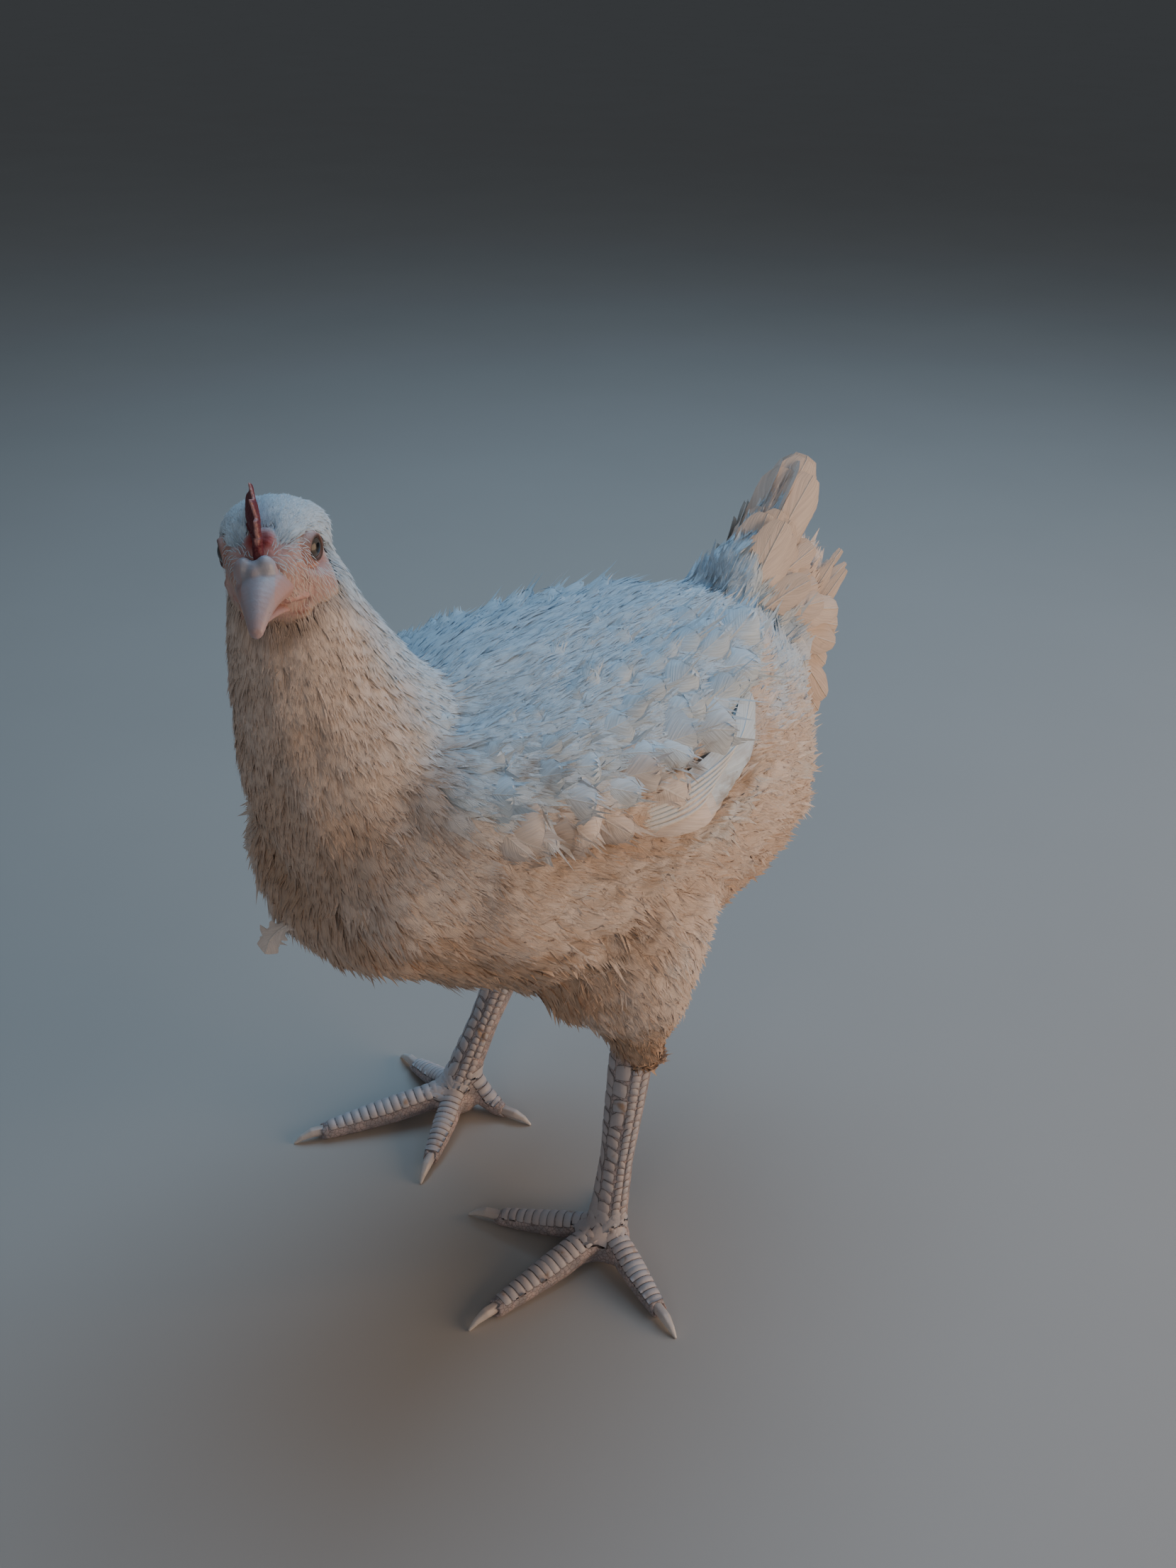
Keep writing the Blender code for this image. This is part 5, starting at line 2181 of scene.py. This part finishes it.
class Coat:
    """The whole plumage: layers of small feathers laid on the outline of the body."""

    limit: int = 195_000
    steps: int = 6
    tries: float = 4.5
    bend: float = 0.9
    hang: float = 0.8
    lid_gap: float = 0.0019
    bristle_gap: float = 0.0006
    bristle: tuple[float, ...] = (0.0001, 0.0022, 0.001, 0.00086, 0.4)
    classes: tuple[float, ...] = (0, 0.0016, 0.0028, 0.0045, 1.0)

    def __init__(self, outline: Surface, lie: Lie, skin: Skin, unwrap: Unwrap, plumage: Plumage) -> None:
        """Keeps what the layers share.

        Args:
            outline: the outline of the plumage.
            lie: the lie of the coat.
            skin: the skin, which says where the face is bare.
            unwrap: the skin's unwrap.
            plumage: the coat's finish.
        """
        self.outline, self.lie, self.skin, self.unwrap = outline, lie, skin, unwrap
        self.material = plumage.coat()
        self.rng = np.random.default_rng(SEED)
        self.total = 0

    def roots(self, patch: Patch) -> tuple[Rows, Rows]:
        """Places for the feathers' roots on the outline.

        Args:
            patch: the layer.

        Returns:
            The places and their sizes from the guides.
        """
        corners = self.outline.points[self.outline.triangles]
        centres = corners.mean(1)
        _, sizes = self.lie.read(centres)
        gaps = sizes[:, 3] * patch.spacing
        sides = corners[:, 1] - corners[:, 0], corners[:, 2] - corners[:, 0]
        areas = 0.5 * lengths_of(np.cross(*sides))
        if patch.face:
            sizes[:, :5] = self.bristle
            gaps = sizes[:, 3]
        allowed = self.allowed(patch, centres, sizes)
        weights = areas / gaps**2 * allowed
        count = int(weights.sum() * self.tries)
        chosen = self.rng.choice(len(areas), count, p=weights / weights.sum())
        a, b = self.rng.random(count), self.rng.random(count)
        flip = a + b > 1
        a[flip], b[flip] = 1 - a[flip], 1 - b[flip]
        places = corners[chosen, 0] + a[:, None] * sides[0][chosen]
        places += b[:, None] * sides[1][chosen]
        gaps = gaps[chosen]
        kept = []
        for low, high in zip(self.classes[:-1], self.classes[1:]):
            here = np.nonzero((gaps >= low) & (gaps < high))[0]
            if len(here):
                kept.append(here[spread_out(places[here], gaps[here])])
        kept = np.concatenate(kept)
        return places[kept], sizes[chosen[kept]]

    def allowed(self, patch: Patch, places: Rows, sizes: Rows) -> Rows:
        """Where a layer may grow.

        Args:
            patch: the layer.
            places: rows of coordinates on the outline, one for each of its triangles.
            sizes: their sizes from the guides.

        Returns:
            A mark for each place.
        """
        bare = self.skin.face_share(places) > 0.5
        if patch.face:
            local = in_head(places)
            mouth = np.maximum(LIP.near(local), UNDER_LIP.near(local))
            crest = bump_at(local, (0.0, -0.0118, 0.01), (0.0046, 0.006, 0.0046))
            bare = ~(bare & (self.skin.lid_distance(local) > 0.0014) & (mouth < 0.4) & (crest < 0.4))
        fluff, along = sizes[:, 4], in_body(places)[:, 1]
        rising = self.outline.face_normals[:, 2] > patch.up
        loose = (fluff >= patch.least_fluff) & (fluff <= patch.most_fluff)
        gap = in_body(places) - np.array(self.skin.tail_at)
        behind = (gap[:, 1] > 0) & (gap[:, 2] > -1.2 * gap[:, 1])
        upright = np.arctan2(gap[:, 2], gap[:, 1]) > 0.84
        tail = behind & (np.hypot(gap[:, 1], gap[:, 2]) > 0.034 + 0.004 * upright)
        return ~bare & loose & rising & (along > patch.behind) & (along < patch.ahead) & ~tail

    def trace(self, roots: Rows, sizes: Rows, patch: Patch) -> Strands:
        """Spines that run from the roots along the lie.

        Args:
            roots: places on the outline.
            sizes: their sizes from the guides.
            patch: the layer.

        Returns:
            The strands.
        """
        count = len(roots)
        rng = self.rng
        length = sizes[:, 1] * patch.length * rng.uniform(0.82, 1.15, count)
        fluff = sizes[:, 4]
        stray = patch.stray * (0.5 + 1.3 * fluff)
        yaw = rng.normal(0, 1, count) * stray
        bend = rng.normal(0, 1, count) * stray * self.bend
        places, normals = self.outline.nearest(roots)
        spots, facings = [places], [normals]
        for k in range(1, self.steps):
            flow, _ = self.lie.read(spots[-1])
            flow = unit(flow - facings[-1] * (flow * facings[-1]).sum(1, keepdims=True))
            across = np.cross(facings[-1], flow)
            angle = (yaw + bend * k / self.steps)[:, None]
            heading = flow * np.cos(angle) + across * np.sin(angle)
            ahead = spots[-1] + heading * (length / (self.steps - 1))[:, None]
            on, normal = self.outline.nearest(ahead)
            free = np.clip(0.2 + 0.4 * fluff + sizes[:, 6], 0, 1.25)[:, None]
            drop = ahead - on
            over = np.maximum((drop * normal).sum(1, keepdims=True), 0.0) * normal
            spots.append(on + over * free * self.hang)
            facings.append(unit(normal + 0.6 * facings[-1]))
        points, facing = np.stack(spots, 1), np.stack(facings, 1)
        t = np.linspace(0, 1, self.steps)[None, :]
        depth = sizes[:, :1] * patch.root
        rise = (patch.lift + sizes[:, 5]) * sizes[:, 1]
        top = rng.normal(0.0, 1.0, count) * (0.00015 + 0.0005 * fluff) * (sizes[:, 0] / 0.006)
        under = -depth * (1 - t) ** 1.15 + (rise + top)[:, None] * t**1.6 - 0.0004
        points = points + facing * under[..., None]
        tone = np.clip(rng.normal(0.5, 0.25, count), 0, 1)
        width = sizes[:, 2] * patch.width * rng.uniform(0.85, 1.15, count)
        return Strands(points, facing, width, fluff, patch.outline, tone, warmth_and_light_at(roots, normals))

    def lay(self, patch: Patch) -> None:
        """Grows one layer, split into pieces that stay light.

        Args:
            patch: the layer.
        """
        roots, sizes = self.roots(patch)
        order = np.argsort(roots[:, 2] + 0.35 * roots[:, 1])
        roots, sizes = roots[order], sizes[order]
        strands = self.trace(roots, sizes, patch)
        local = in_head(strands.points.reshape(-1, 3))
        margin = self.bristle_gap if patch.face else self.lid_gap
        across = (self.skin.lid_distance(local) < margin) & (lengths_of(local) < 0.03)
        clear = ~across.reshape(len(roots), -1).any(1)
        roots, strands = roots[clear], strands.only(clear)
        bake = self.unwrap.read(roots)
        faces = 2 * patch.rows * patch.columns + 2 * patch.barbs + (patch.columns + 1) * (patch.barbs > 0)
        parts = max(1, math.ceil(len(roots) * faces / self.limit))
        for number, rows in enumerate(np.array_split(np.arange(len(roots)), parts)):
            name = f"coat_{patch.name}_{number + 1}"
            sizes = patch.rows, patch.columns, patch.barbs, patch.cup
            mesh = CoatMesh(name, *sizes, seed=SEED + number)
            mesh.add(strands.only(rows), bake[rows])
            finish_piece(join_feathers(mesh.name, mesh.blocks), self.material, "plumage")
            self.total += len(rows) * faces


@dataclass
class Plume:
    """A large feather: its spine, facing, half width and form.

    points and facings run from root to tip; left and right scale the two halves of the vane, and slant is
    how far its edges are swept back.
    """

    points: list[Vector]
    facings: list[Vector]
    width: float
    outline: Vane = Vane.BLUNT
    rows: int = 22
    columns: int = 10
    sides: int = 6
    left: float = 1.0
    right: float = 1.0
    cup: float = 0.12
    slant: float = 0.55
    shaft: float = 0.0009
    shaft_end: float = 0.00012
    fray: float = 0.04
    tone: float = 0.5
    shaft_tone: float = 0.9
    warmth: float | None = None

    def add_to(self, holder: "Plumes") -> None:
        """Adds the vane and its shaft.

        Args:
            holder: the set of large feathers that it belongs to.
        """
        rows, columns, sides = self.rows, self.columns, self.sides
        knots = np.array([tuple(point) for point in self.points])
        ways = np.linspace(0, 1, len(knots))
        t = np.linspace(0, 1, rows + 1)
        spine = np.stack([smooth(t, ways, knots[:, i]) for i in range(3)], 1)
        facing = np.array([tuple(facing) for facing in self.facings])
        facing = unit(np.stack([np.interp(t, ways, facing[:, i]) for i in range(3)], 1))
        forward = unit(np.gradient(spine, axis=0))
        side = unit(np.cross(forward, facing))
        facing = unit(np.cross(side, forward))
        table = np.array(self.outline.value)
        profile = np.interp(t, table[:, 0], table[:, 1])
        across = np.linspace(-1, 1, columns + 1)
        scale = np.where(across < 0, self.left, self.right)
        notch = holder.rng.normal(0, self.fray, rows + 1)
        ragged = 1 + notch[:, None] * np.abs(across)[None, :] ** 3
        offset = across[None, :] * scale[None, :] * profile[:, None] * self.width * ragged
        back = -self.slant * np.abs(offset) * (t[:, None] > 0.06)
        back = np.where(t[:, None] > 0.9, back * 0.45, back)
        curve = -self.cup * np.abs(across)[None, :] ** 1.6 * profile[:, None] * self.width
        points = (
            spine[:, None, :]
            + side[:, None, :] * offset[..., None]
            + forward[:, None, :] * (back + 0.35 * self.width)[..., None] * 0.6
            + facing[:, None, :] * curve[..., None]
        )
        map_across = np.tile(0.5 + 0.5 * across, (rows + 1, 1))
        vane = np.stack([map_across, np.repeat(t[:, None], columns + 1, 1)], -1)
        holder.keep(points.reshape(-1, 3), grid_quads(rows, columns), vane.reshape(-1, 2), self.tone, self)
        ring = []
        for i in range(rows + 1):
            thick = self.shaft * (1 - 0.85 * t[i]) + self.shaft_end
            middle = spine[i] + forward[i] * 0.21 * self.width
            for angle in (math.tau * k / sides for k in range(sides)):
                lift = thick * (0.35 + 0.8 * math.sin(angle))
                ring.append(middle + side[i] * thick * math.cos(angle) + facing[i] * lift)
        round_it = [(c, (c + 1) % sides) for c in range(sides)]
        rings = [(r * sides, (r + 1) * sides) for r in range(rows)]
        tube = [(low + a, low + b, high + b, high + a) for low, high in rings for a, b in round_it]
        marks = np.stack([np.full(len(ring), 0.5), np.repeat(t, sides)], -1)
        holder.keep(np.array(ring), np.array(tube), marks, self.shaft_tone, self)


def smooth(t: Rows, ways: Rows, values: Rows) -> Rows:
    """A smooth curve through values, read at t.

    Args:
        t: where to read it.
        ways: where the values lie.
        values: the values.

    Returns:
        The curve's values.
    """
    slopes = np.gradient(values, ways)
    low = np.clip(np.searchsorted(ways, t, side="right") - 1, 0, len(ways) - 2)
    gap = ways[low + 1] - ways[low]
    s = (t - ways[low]) / gap
    a = 2 * s**3 - 3 * s**2 + 1
    b = s**3 - 2 * s**2 + s
    c = -2 * s**3 + 3 * s**2
    d = s**3 - s**2
    return a * values[low] + b * gap * slopes[low] + c * values[low + 1] + d * gap * slopes[low + 1]


class Plumes:
    """Collects large feathers for one piece."""

    def __init__(self, unwrap: Unwrap, seed: int) -> None:
        """Starts an empty set.

        Args:
            unwrap: the skin's unwrap.
            seed: the seed of its feathers' small differences.
        """
        self.unwrap = unwrap
        self.rng = np.random.default_rng(seed)
        self.blocks: list[Block] = []

    def keep(
        self, points: Rows, quads: Rows, vane: Rows, tone: float, plume: "Plume"
    ) -> None:
        """Keeps a block of points and faces.

        Args:
            points: rows of coordinates.
            quads: rows of point numbers.
            vane: each point's place on the vane's map.
            tone: the block's tone.
            plume: the feather that it is part of.
        """
        root = tuple(plume.points[0])
        bake = self.unwrap.read(np.array([root]))[0]
        patch = bake[None, :] + (vane - 0.5) * BAKE_PATCH
        warmth = plume.warmth
        if warmth is None:
            warmth = warmth_and_light_at(np.array([tuple(plume.points[-1])]), np.array([(0.6, 0.3, 0.2)]))[0]
        marks = np.full(len(points), tone), np.full(len(points), warmth)
        self.blocks.append((points, quads, NO_TRIANGLES, vane, patch, *marks))


@dataclass
class FlightFeathers:
    """The ends of the folded flight feathers below the wing's coverts, in the body's frame."""

    side: str
    low: tuple[Point, ...] = (
        (0.0585, -0.008, 0.1856),
        (0.0655, 0.008, 0.1868),
        (0.0672, 0.021, 0.1888),
        (0.061, 0.037, 0.1912),
    )
    high: tuple[Point, ...] = (
        (0.0565, -0.011, 0.1922),
        (0.063, 0.014, 0.1945),
        (0.06, 0.046, 0.1985),
        (0.048, 0.068, 0.2055),
    )
    turns: tuple[Point, ...] = ((1.0, -0.3, 0.55), (1.0, 0.05, 0.55), (1.0, 0.35, 0.55), (0.9, 0.7, 0.6))
    count: int = 6
    lean: float = 0.62
    width: float = 0.0068
    wider: float = 0.0016
    warmth: float = 0.55

    def build(self, unwrap: Unwrap, material: Material) -> None:
        """Makes and dresses one wing's flight feathers.

        Args:
            unwrap: the skin's unwrap.
            material: the smooth vanes' material.
        """
        sign = SIDES[self.side]
        plumes = Plumes(unwrap, SEED + 3 + sign)
        for k in range(self.count):
            share = k / (self.count - 1)
            points = [Vector(a).lerp(Vector(b), share) for a, b in zip(self.low, self.high)]
            placed = [BODY @ Vector(mirrored(point, sign)) for point in points]
            looks = [Vector(mirrored(turn, sign)).normalized() for turn in self.turns]
            left, right = (self.lean, 1.0) if sign > 0 else (1.0, self.lean)
            # the lowest feathers warm, the upper half cool with painted skylight
            warmth = self.warmth - self.warmth * min(2 * share, 1.0)
            Plume(
                placed, looks, self.width + self.wider * share, left=left, right=right, tone=0.9,
                fray=0.015, shaft=0.0007, cup=0.1, warmth=warmth,
            ).add_to(plumes)
        made = join_feathers(f"flight_{self.side}", plumes.blocks)
        finish_piece(made, material, "quills", f"quills_{self.side}")


@dataclass
class Coverts:
    """The rounded feathers of one wing, in rows whose tips overlap like tiles, in the body's frame.

    edge is the line of the lowest row's tips, step leads from a row to the next one up, and first is how
    far ahead a tip may lie. Each row's feathers are shorter, narrower and lower than those of the last.
    """

    side: str
    edge: tuple[Point, ...] = (
        (0.031, 0.087, 0.2205),
        (0.0465, 0.068, 0.21),
        (0.056, 0.043, 0.202),
        (0.0608, 0.0215, 0.1975),
        (0.062, -0.008, 0.1915),
        (0.059, -0.033, 0.191),
        (0.053, -0.056, 0.197),
    )
    step: Point = (-0.0058, -0.0075, 0.0082)
    first: float = -0.052
    rows: int = 6
    count: int = 13
    length: float = 0.0265
    shorter: float = 0.0028
    width: float = 0.0084
    narrower: float = 0.0007
    rise: float = 0.0052
    lower: float = 0.0009
    least_rise: float = 0.0012
    depth: float = 0.0052
    fluff: float = 0.3

    def build(self, coat: "Coat", material: Material) -> None:
        """Makes and dresses one wing's covert rows.

        Args:
            coat: the coat, whose outline they lie on.
            material: the coverts' material.
        """
        sign = SIDES[self.side]
        rng = np.random.default_rng(SEED + 40 + sign)
        line = np.array(self.edge)
        ways = np.linspace(0, 1, len(line))
        roots, lengths, widths, rises = [], [], [], []
        for row in range(self.rows):
            number = self.count - row
            for k in range(number):
                share = (k + 0.5 + 0.5 * (row % 2) + rng.normal(0, 0.12)) / (number + 0.5)
                tip = np.array([np.interp(share, ways, line[:, i]) for i in range(3)])
                tip = tip + np.array(self.step) * row + rng.normal(0, 0.0016, 3)
                if tip[1] < self.first:
                    continue
                length = self.length - self.shorter * row
                length *= 0.72 + 0.28 * math.sin(math.pi * min(share + 0.25, 1))
                placed = moved(BODY, np.array([mirrored(tip, sign)]))
                flow, _ = coat.lie.read(placed)
                fan = np.array([[0.0, 0.0, -0.45 * math.sin(math.pi * share)]])
                roots.append((placed - unit(flow + fan) * length)[0])
                lengths.append(length)
                widths.append((self.width - self.narrower * row) * rng.uniform(0.7, 1.2))
                rise = max(self.rise - self.lower * row, self.least_rise)
                rises.append(rise * rng.uniform(0.7, 1.3) / length)
        roots, lengths, widths = np.array(roots), np.array(lengths), np.array(widths)
        _, sizes = coat.lie.read(roots)
        sizes[:, 0], sizes[:, 1], sizes[:, 2] = self.depth, lengths, widths
        sizes[:, 4], sizes[:, 5] = self.fluff, rises
        patch = Patch("coverts", Vane.ROUND, rows=9, columns=6, barbs=9, stray=0.2, cup=0.46)
        strands = coat.trace(roots, sizes, patch)
        mesh = CoatMesh(f"coverts_{self.side}", 9, 6, 9, patch.cup, ragged=1.5, seed=SEED + 50 + sign)
        mesh.add(strands, coat.unwrap.read(roots))
        finish_piece(join_feathers(mesh.name, mesh.blocks), material, "plumage")


@dataclass(frozen=True)
class Fan:
    """Part of the tail: feathers between two lifts in degrees, with their reach, spread and form."""

    lifts: tuple[float, float]
    reach: tuple[float, float]
    half: float
    count: int
    width: float
    outline: Vane
    bend: float
    fray: float


@dataclass
class Tail:
    """The short young tail: an upright blunt tuft, ragged feathers behind it and petals below."""

    root: Point = TAIL_AT
    golden: float = 0.618034
    fans: tuple[Fan, ...] = (
        Fan((57.0, 53.5), (0.07, 0.0755), 0.003, 20, 0.0086, Vane.BLUNT, 0.04, 0.02),
        Fan((72, 55), (0.038, 0.056), 0.0065, 28, 0.008, Vane.ROUND, 0.05, 0.04),
        Fan((46, 2), (0.035, 0.044), 0.0135, 34, 0.0066, Vane.ROUND, 0.12, 0.06),
        Fan((50, 28), (0.044, 0.053), 0.008, 22, 0.0046, Vane.BLUNT, 0.08, 0.14),
        Fan((24, 5), (0.052, 0.069), 0.009, 18, 0.005, Vane.NARROW, -0.14, 0.14),
        Fan((12, -32), (0.048, 0.057), 0.013, 40, 0.0076, Vane.ROUND, 0.14, 0.06),
        Fan((-28, -68), (0.05, 0.061), 0.0165, 44, 0.008, Vane.ROUND, 0.16, 0.07),
    )

    def build(self, unwrap: Unwrap, material: Material) -> None:
        """Makes and dresses the tail.

        Args:
            unwrap: the skin's unwrap.
            material: the plumage's material.
        """
        plumes = Plumes(unwrap, SEED + 9)
        rng = plumes.rng
        for fan in self.fans:
            for k in range(fan.count):
                along = (k + 0.5) / fan.count
                spread = 2 * ((k * self.golden) % 1.0) - 1
                lift = fan.lifts[0] + (fan.lifts[1] - fan.lifts[0]) * along
                angle = math.radians(lift + rng.normal(0, 1.5))
                length = fan.reach[0] + (fan.reach[1] - fan.reach[0]) * math.sin(math.pi * along)
                length *= (1 - 0.12 * spread**2) * rng.uniform(0.93, 1.03)
                out = Vector((spread * fan.half, math.cos(angle) * length, math.sin(angle) * length))
                start = Vector(self.root) + Vector((spread * 0.006, 0, 0))
                across = Vector((0, -math.sin(angle), math.cos(angle)))
                bow = fan.bend * length * rng.uniform(0.6, 1.3)
                points = [start + out * w + across * bow * math.sin(math.pi * w) for w in (0, 0.35, 0.68, 1)]
                outward = Vector((1.0 if spread >= 0 else -1.0, 0, 0)) * (0.45 + abs(spread))
                look = (outward + across * (0.6 if angle > 0 else 0.15)).normalized()
                Plume(
                    [BODY @ point for point in points], [look] * 4, fan.width * rng.uniform(0.9, 1.1),
                    fan.outline, cup=0.18, shaft=0.00045, fray=fan.fray, tone=float(rng.uniform(0.35, 0.85)),
                ).add_to(plumes)
        finish_piece(join_feathers("tail_feathers", plumes.blocks), material, "plumage", "tail")


@dataclass
class LooseFeather:
    """The small white feather that hangs loose low on the breast, in the body's frame."""

    spine: tuple[Point, ...] = (
        (0.001, -0.0925, 0.1665),
        (-0.0035, -0.0968, 0.1632),
        (-0.0072, -0.1, 0.1585),
        (-0.0094, -0.1012, 0.1528),
    )
    facing: Point = (0.62, -0.66, 0.42)

    def build(self, unwrap: Unwrap, material: Material) -> None:
        """Makes and dresses the feather.

        Args:
            unwrap: the skin's unwrap.
            material: the plumage's material.
        """
        plumes = Plumes(unwrap, SEED + 21)
        look = Vector(self.facing).normalized()
        Plume(
            [BODY @ Vector(point) for point in self.spine], [look] * 4, 0.0036, Vane.BLUNT,
            cup=0.35, shaft=0.0004, fray=0.26, tone=1.3, warmth=0.4,
        ).add_to(plumes)
        finish_piece(join_feathers("breast_feather", plumes.blocks), material, "plumage")


@dataclass(frozen=True)
class Lamp:
    """A square soft lamp: its name, where it hangs, what it shines at, its side, watts and colour."""

    name: str
    at: Point
    aim: Point
    size: float
    power: float
    colour: Colour

    def build(self) -> None:
        """Hangs the lamp."""
        data = bpy.data.lights.new(self.name, "AREA")
        data.size, data.energy, data.color = self.size, self.power, self.colour
        made = linked(self.name, data)
        made.location = self.at
        aim = Vector(self.aim) - Vector(self.at)
        made.rotation_euler = aim.to_track_quat("-Z", "Y").to_euler()


@dataclass
class Studio:
    """The floor, the camera and the lights."""

    floor_half: float = 30.0
    camera_at: Point = (0.3581, -0.3477, 0.4435)
    heading: float = 45.0
    pitch: float = -28.6
    lens: float = 36.4
    air: tuple[float, ...] = (0.8, 0.9, 1.0, 1)
    air_strength: float = 0.1
    lamps: tuple[Lamp, ...] = (
        Lamp("sky_lamp", (-0.15, 0.55, 1.25), (0.0, 0.0, 0.15), 1.1, 9.8, (0.45, 0.73, 1.0)),
        Lamp("warm_lamp", (0.95, 0.55, 0.22), (0.0, 0.02, 0.14), 0.9, 10.0, (1.0, 0.68, 0.44)),
        Lamp("front_lamp", (0.6, -1.00, 0.6), (0.0, 0.0, 0.15), 0.4, 1.2, (1.0, 0.84, 0.72)),
    )

    def build(self) -> None:
        """Makes the floor, the camera, the lights and the world."""
        self.floor()
        self.camera()
        for lamp in self.lamps:
            lamp.build()
        world = bpy.data.worlds.new("studio_air")
        world.use_nodes = True
        air = world.node_tree.nodes["Background"]
        air.inputs[0].default_value, air.inputs[1].default_value = self.air, self.air_strength
        bpy.context.scene.world = world

    def floor(self) -> None:
        """A plain pale floor."""
        deselect()
        bpy.ops.mesh.primitive_plane_add(size=2 * self.floor_half)
        made = bpy.context.object
        made.name = made.data.name = "floor"
        tree = Tree("floor_pale")
        cloud = tree.clouds(6.0, 3.0)
        colour = tree.mix(cloud, (0.46, 0.44, 0.42), (0.5, 0.48, 0.46))
        made.data.materials.append(tree.finish(Base_Color=colour, Roughness=0.85))

    def camera(self) -> None:
        """The camera."""
        data = bpy.data.cameras.new("camera")
        data.lens = self.lens
        data.sensor_width = 36.0
        data.clip_start = 0.01
        made = linked("camera", data)
        made.location = self.camera_at
        made.rotation_euler = (math.radians(90 + self.pitch), 0, math.radians(self.heading))
        bpy.context.scene.camera = made


LAYERS = (
    Patch(
        "vanes", Vane.ROUND, spacing=0.92, length=1.15, width=1.22, rows=5, columns=4, barbs=4, stray=0.14,
        cup=0.1, root=0.65,
    ),
    Patch(
        "streaks", Vane.NARROW, spacing=0.92, length=1.05, width=0.5, rows=6, columns=2, barbs=5,
        stray=0.13, lift=0.0, up=-0.15, behind=-0.055, most_fluff=0.4, cup=0.15,
    ),
    Patch(
        "down", Vane.WISP, spacing=0.5, length=0.85, width=0.085, rows=4, columns=1, barbs=0,
        stray=0.16, lift=0.004, least_fluff=0.15,
    ),
    Patch(
        "velvet", Vane.WISP, spacing=0.36, length=0.55, width=0.075, rows=3, columns=1, barbs=0,
        stray=0.18, lift=0.004, ahead=-0.04, most_fluff=0.45, root=0.5,
    ),
    Patch(
        "loose", Vane.WISP, spacing=0.48, length=1.75, width=0.046, rows=6, columns=1, barbs=0,
        stray=0.46, lift=0.045, least_fluff=0.56,
    ),
    Patch(
        "bristles", Vane.WISP, width=0.12, rows=3, columns=1, barbs=0, stray=0.3, lift=0.05, face=True,
    ),
)


def main() -> None:
    """Builds the bird from the skin outwards."""
    logging.basicConfig(level=logging.INFO, format="%(message)s")
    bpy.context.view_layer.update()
    plumage = Plumage()
    lie = Lie(GUIDES)
    skin = Skin(lie)
    flesh = skin.outline("flesh_outline", FLESH)
    made = skin.build(flesh, plumage)
    bpy.data.objects.remove(flesh)
    feathered = skin.ruffled(skin.outline("feather_outline", (*FLESH, "tail")))
    outline = Surface(feathered)
    bpy.data.objects.remove(feathered)
    surface = Surface(made)
    unwrap = Unwrap(made)
    Bill().build()
    Comb().build()
    for side in SIDES:
        Eye(side).build()
    for leg in LEGS:
        Claws(leg).build()
        Scales(leg).build(surface)
    coat = Coat(outline, lie, skin, unwrap, plumage)
    for patch in LAYERS:
        coat.lay(patch)
    smooth_vanes = plumage.coat("smooth_vanes", 0.2, 0.8)
    # the coverts' roots take strong painted shade, so that their rows show as clumps
    covert_vanes = plumage.coat("covert_vanes", 3.2, 0.35)
    for side in SIDES:
        Coverts(side).build(coat, covert_vanes)
        FlightFeathers(side).build(unwrap, smooth_vanes)
    tail_vanes = plumage.coat("tail_vanes", 0.5, 0.35)
    Tail().build(unwrap, tail_vanes)
    LooseFeather().build(unwrap, tail_vanes)
    LOG.info("coat: %d triangles", coat.total)
    Studio().build()


if __name__ == "__main__":
    main()
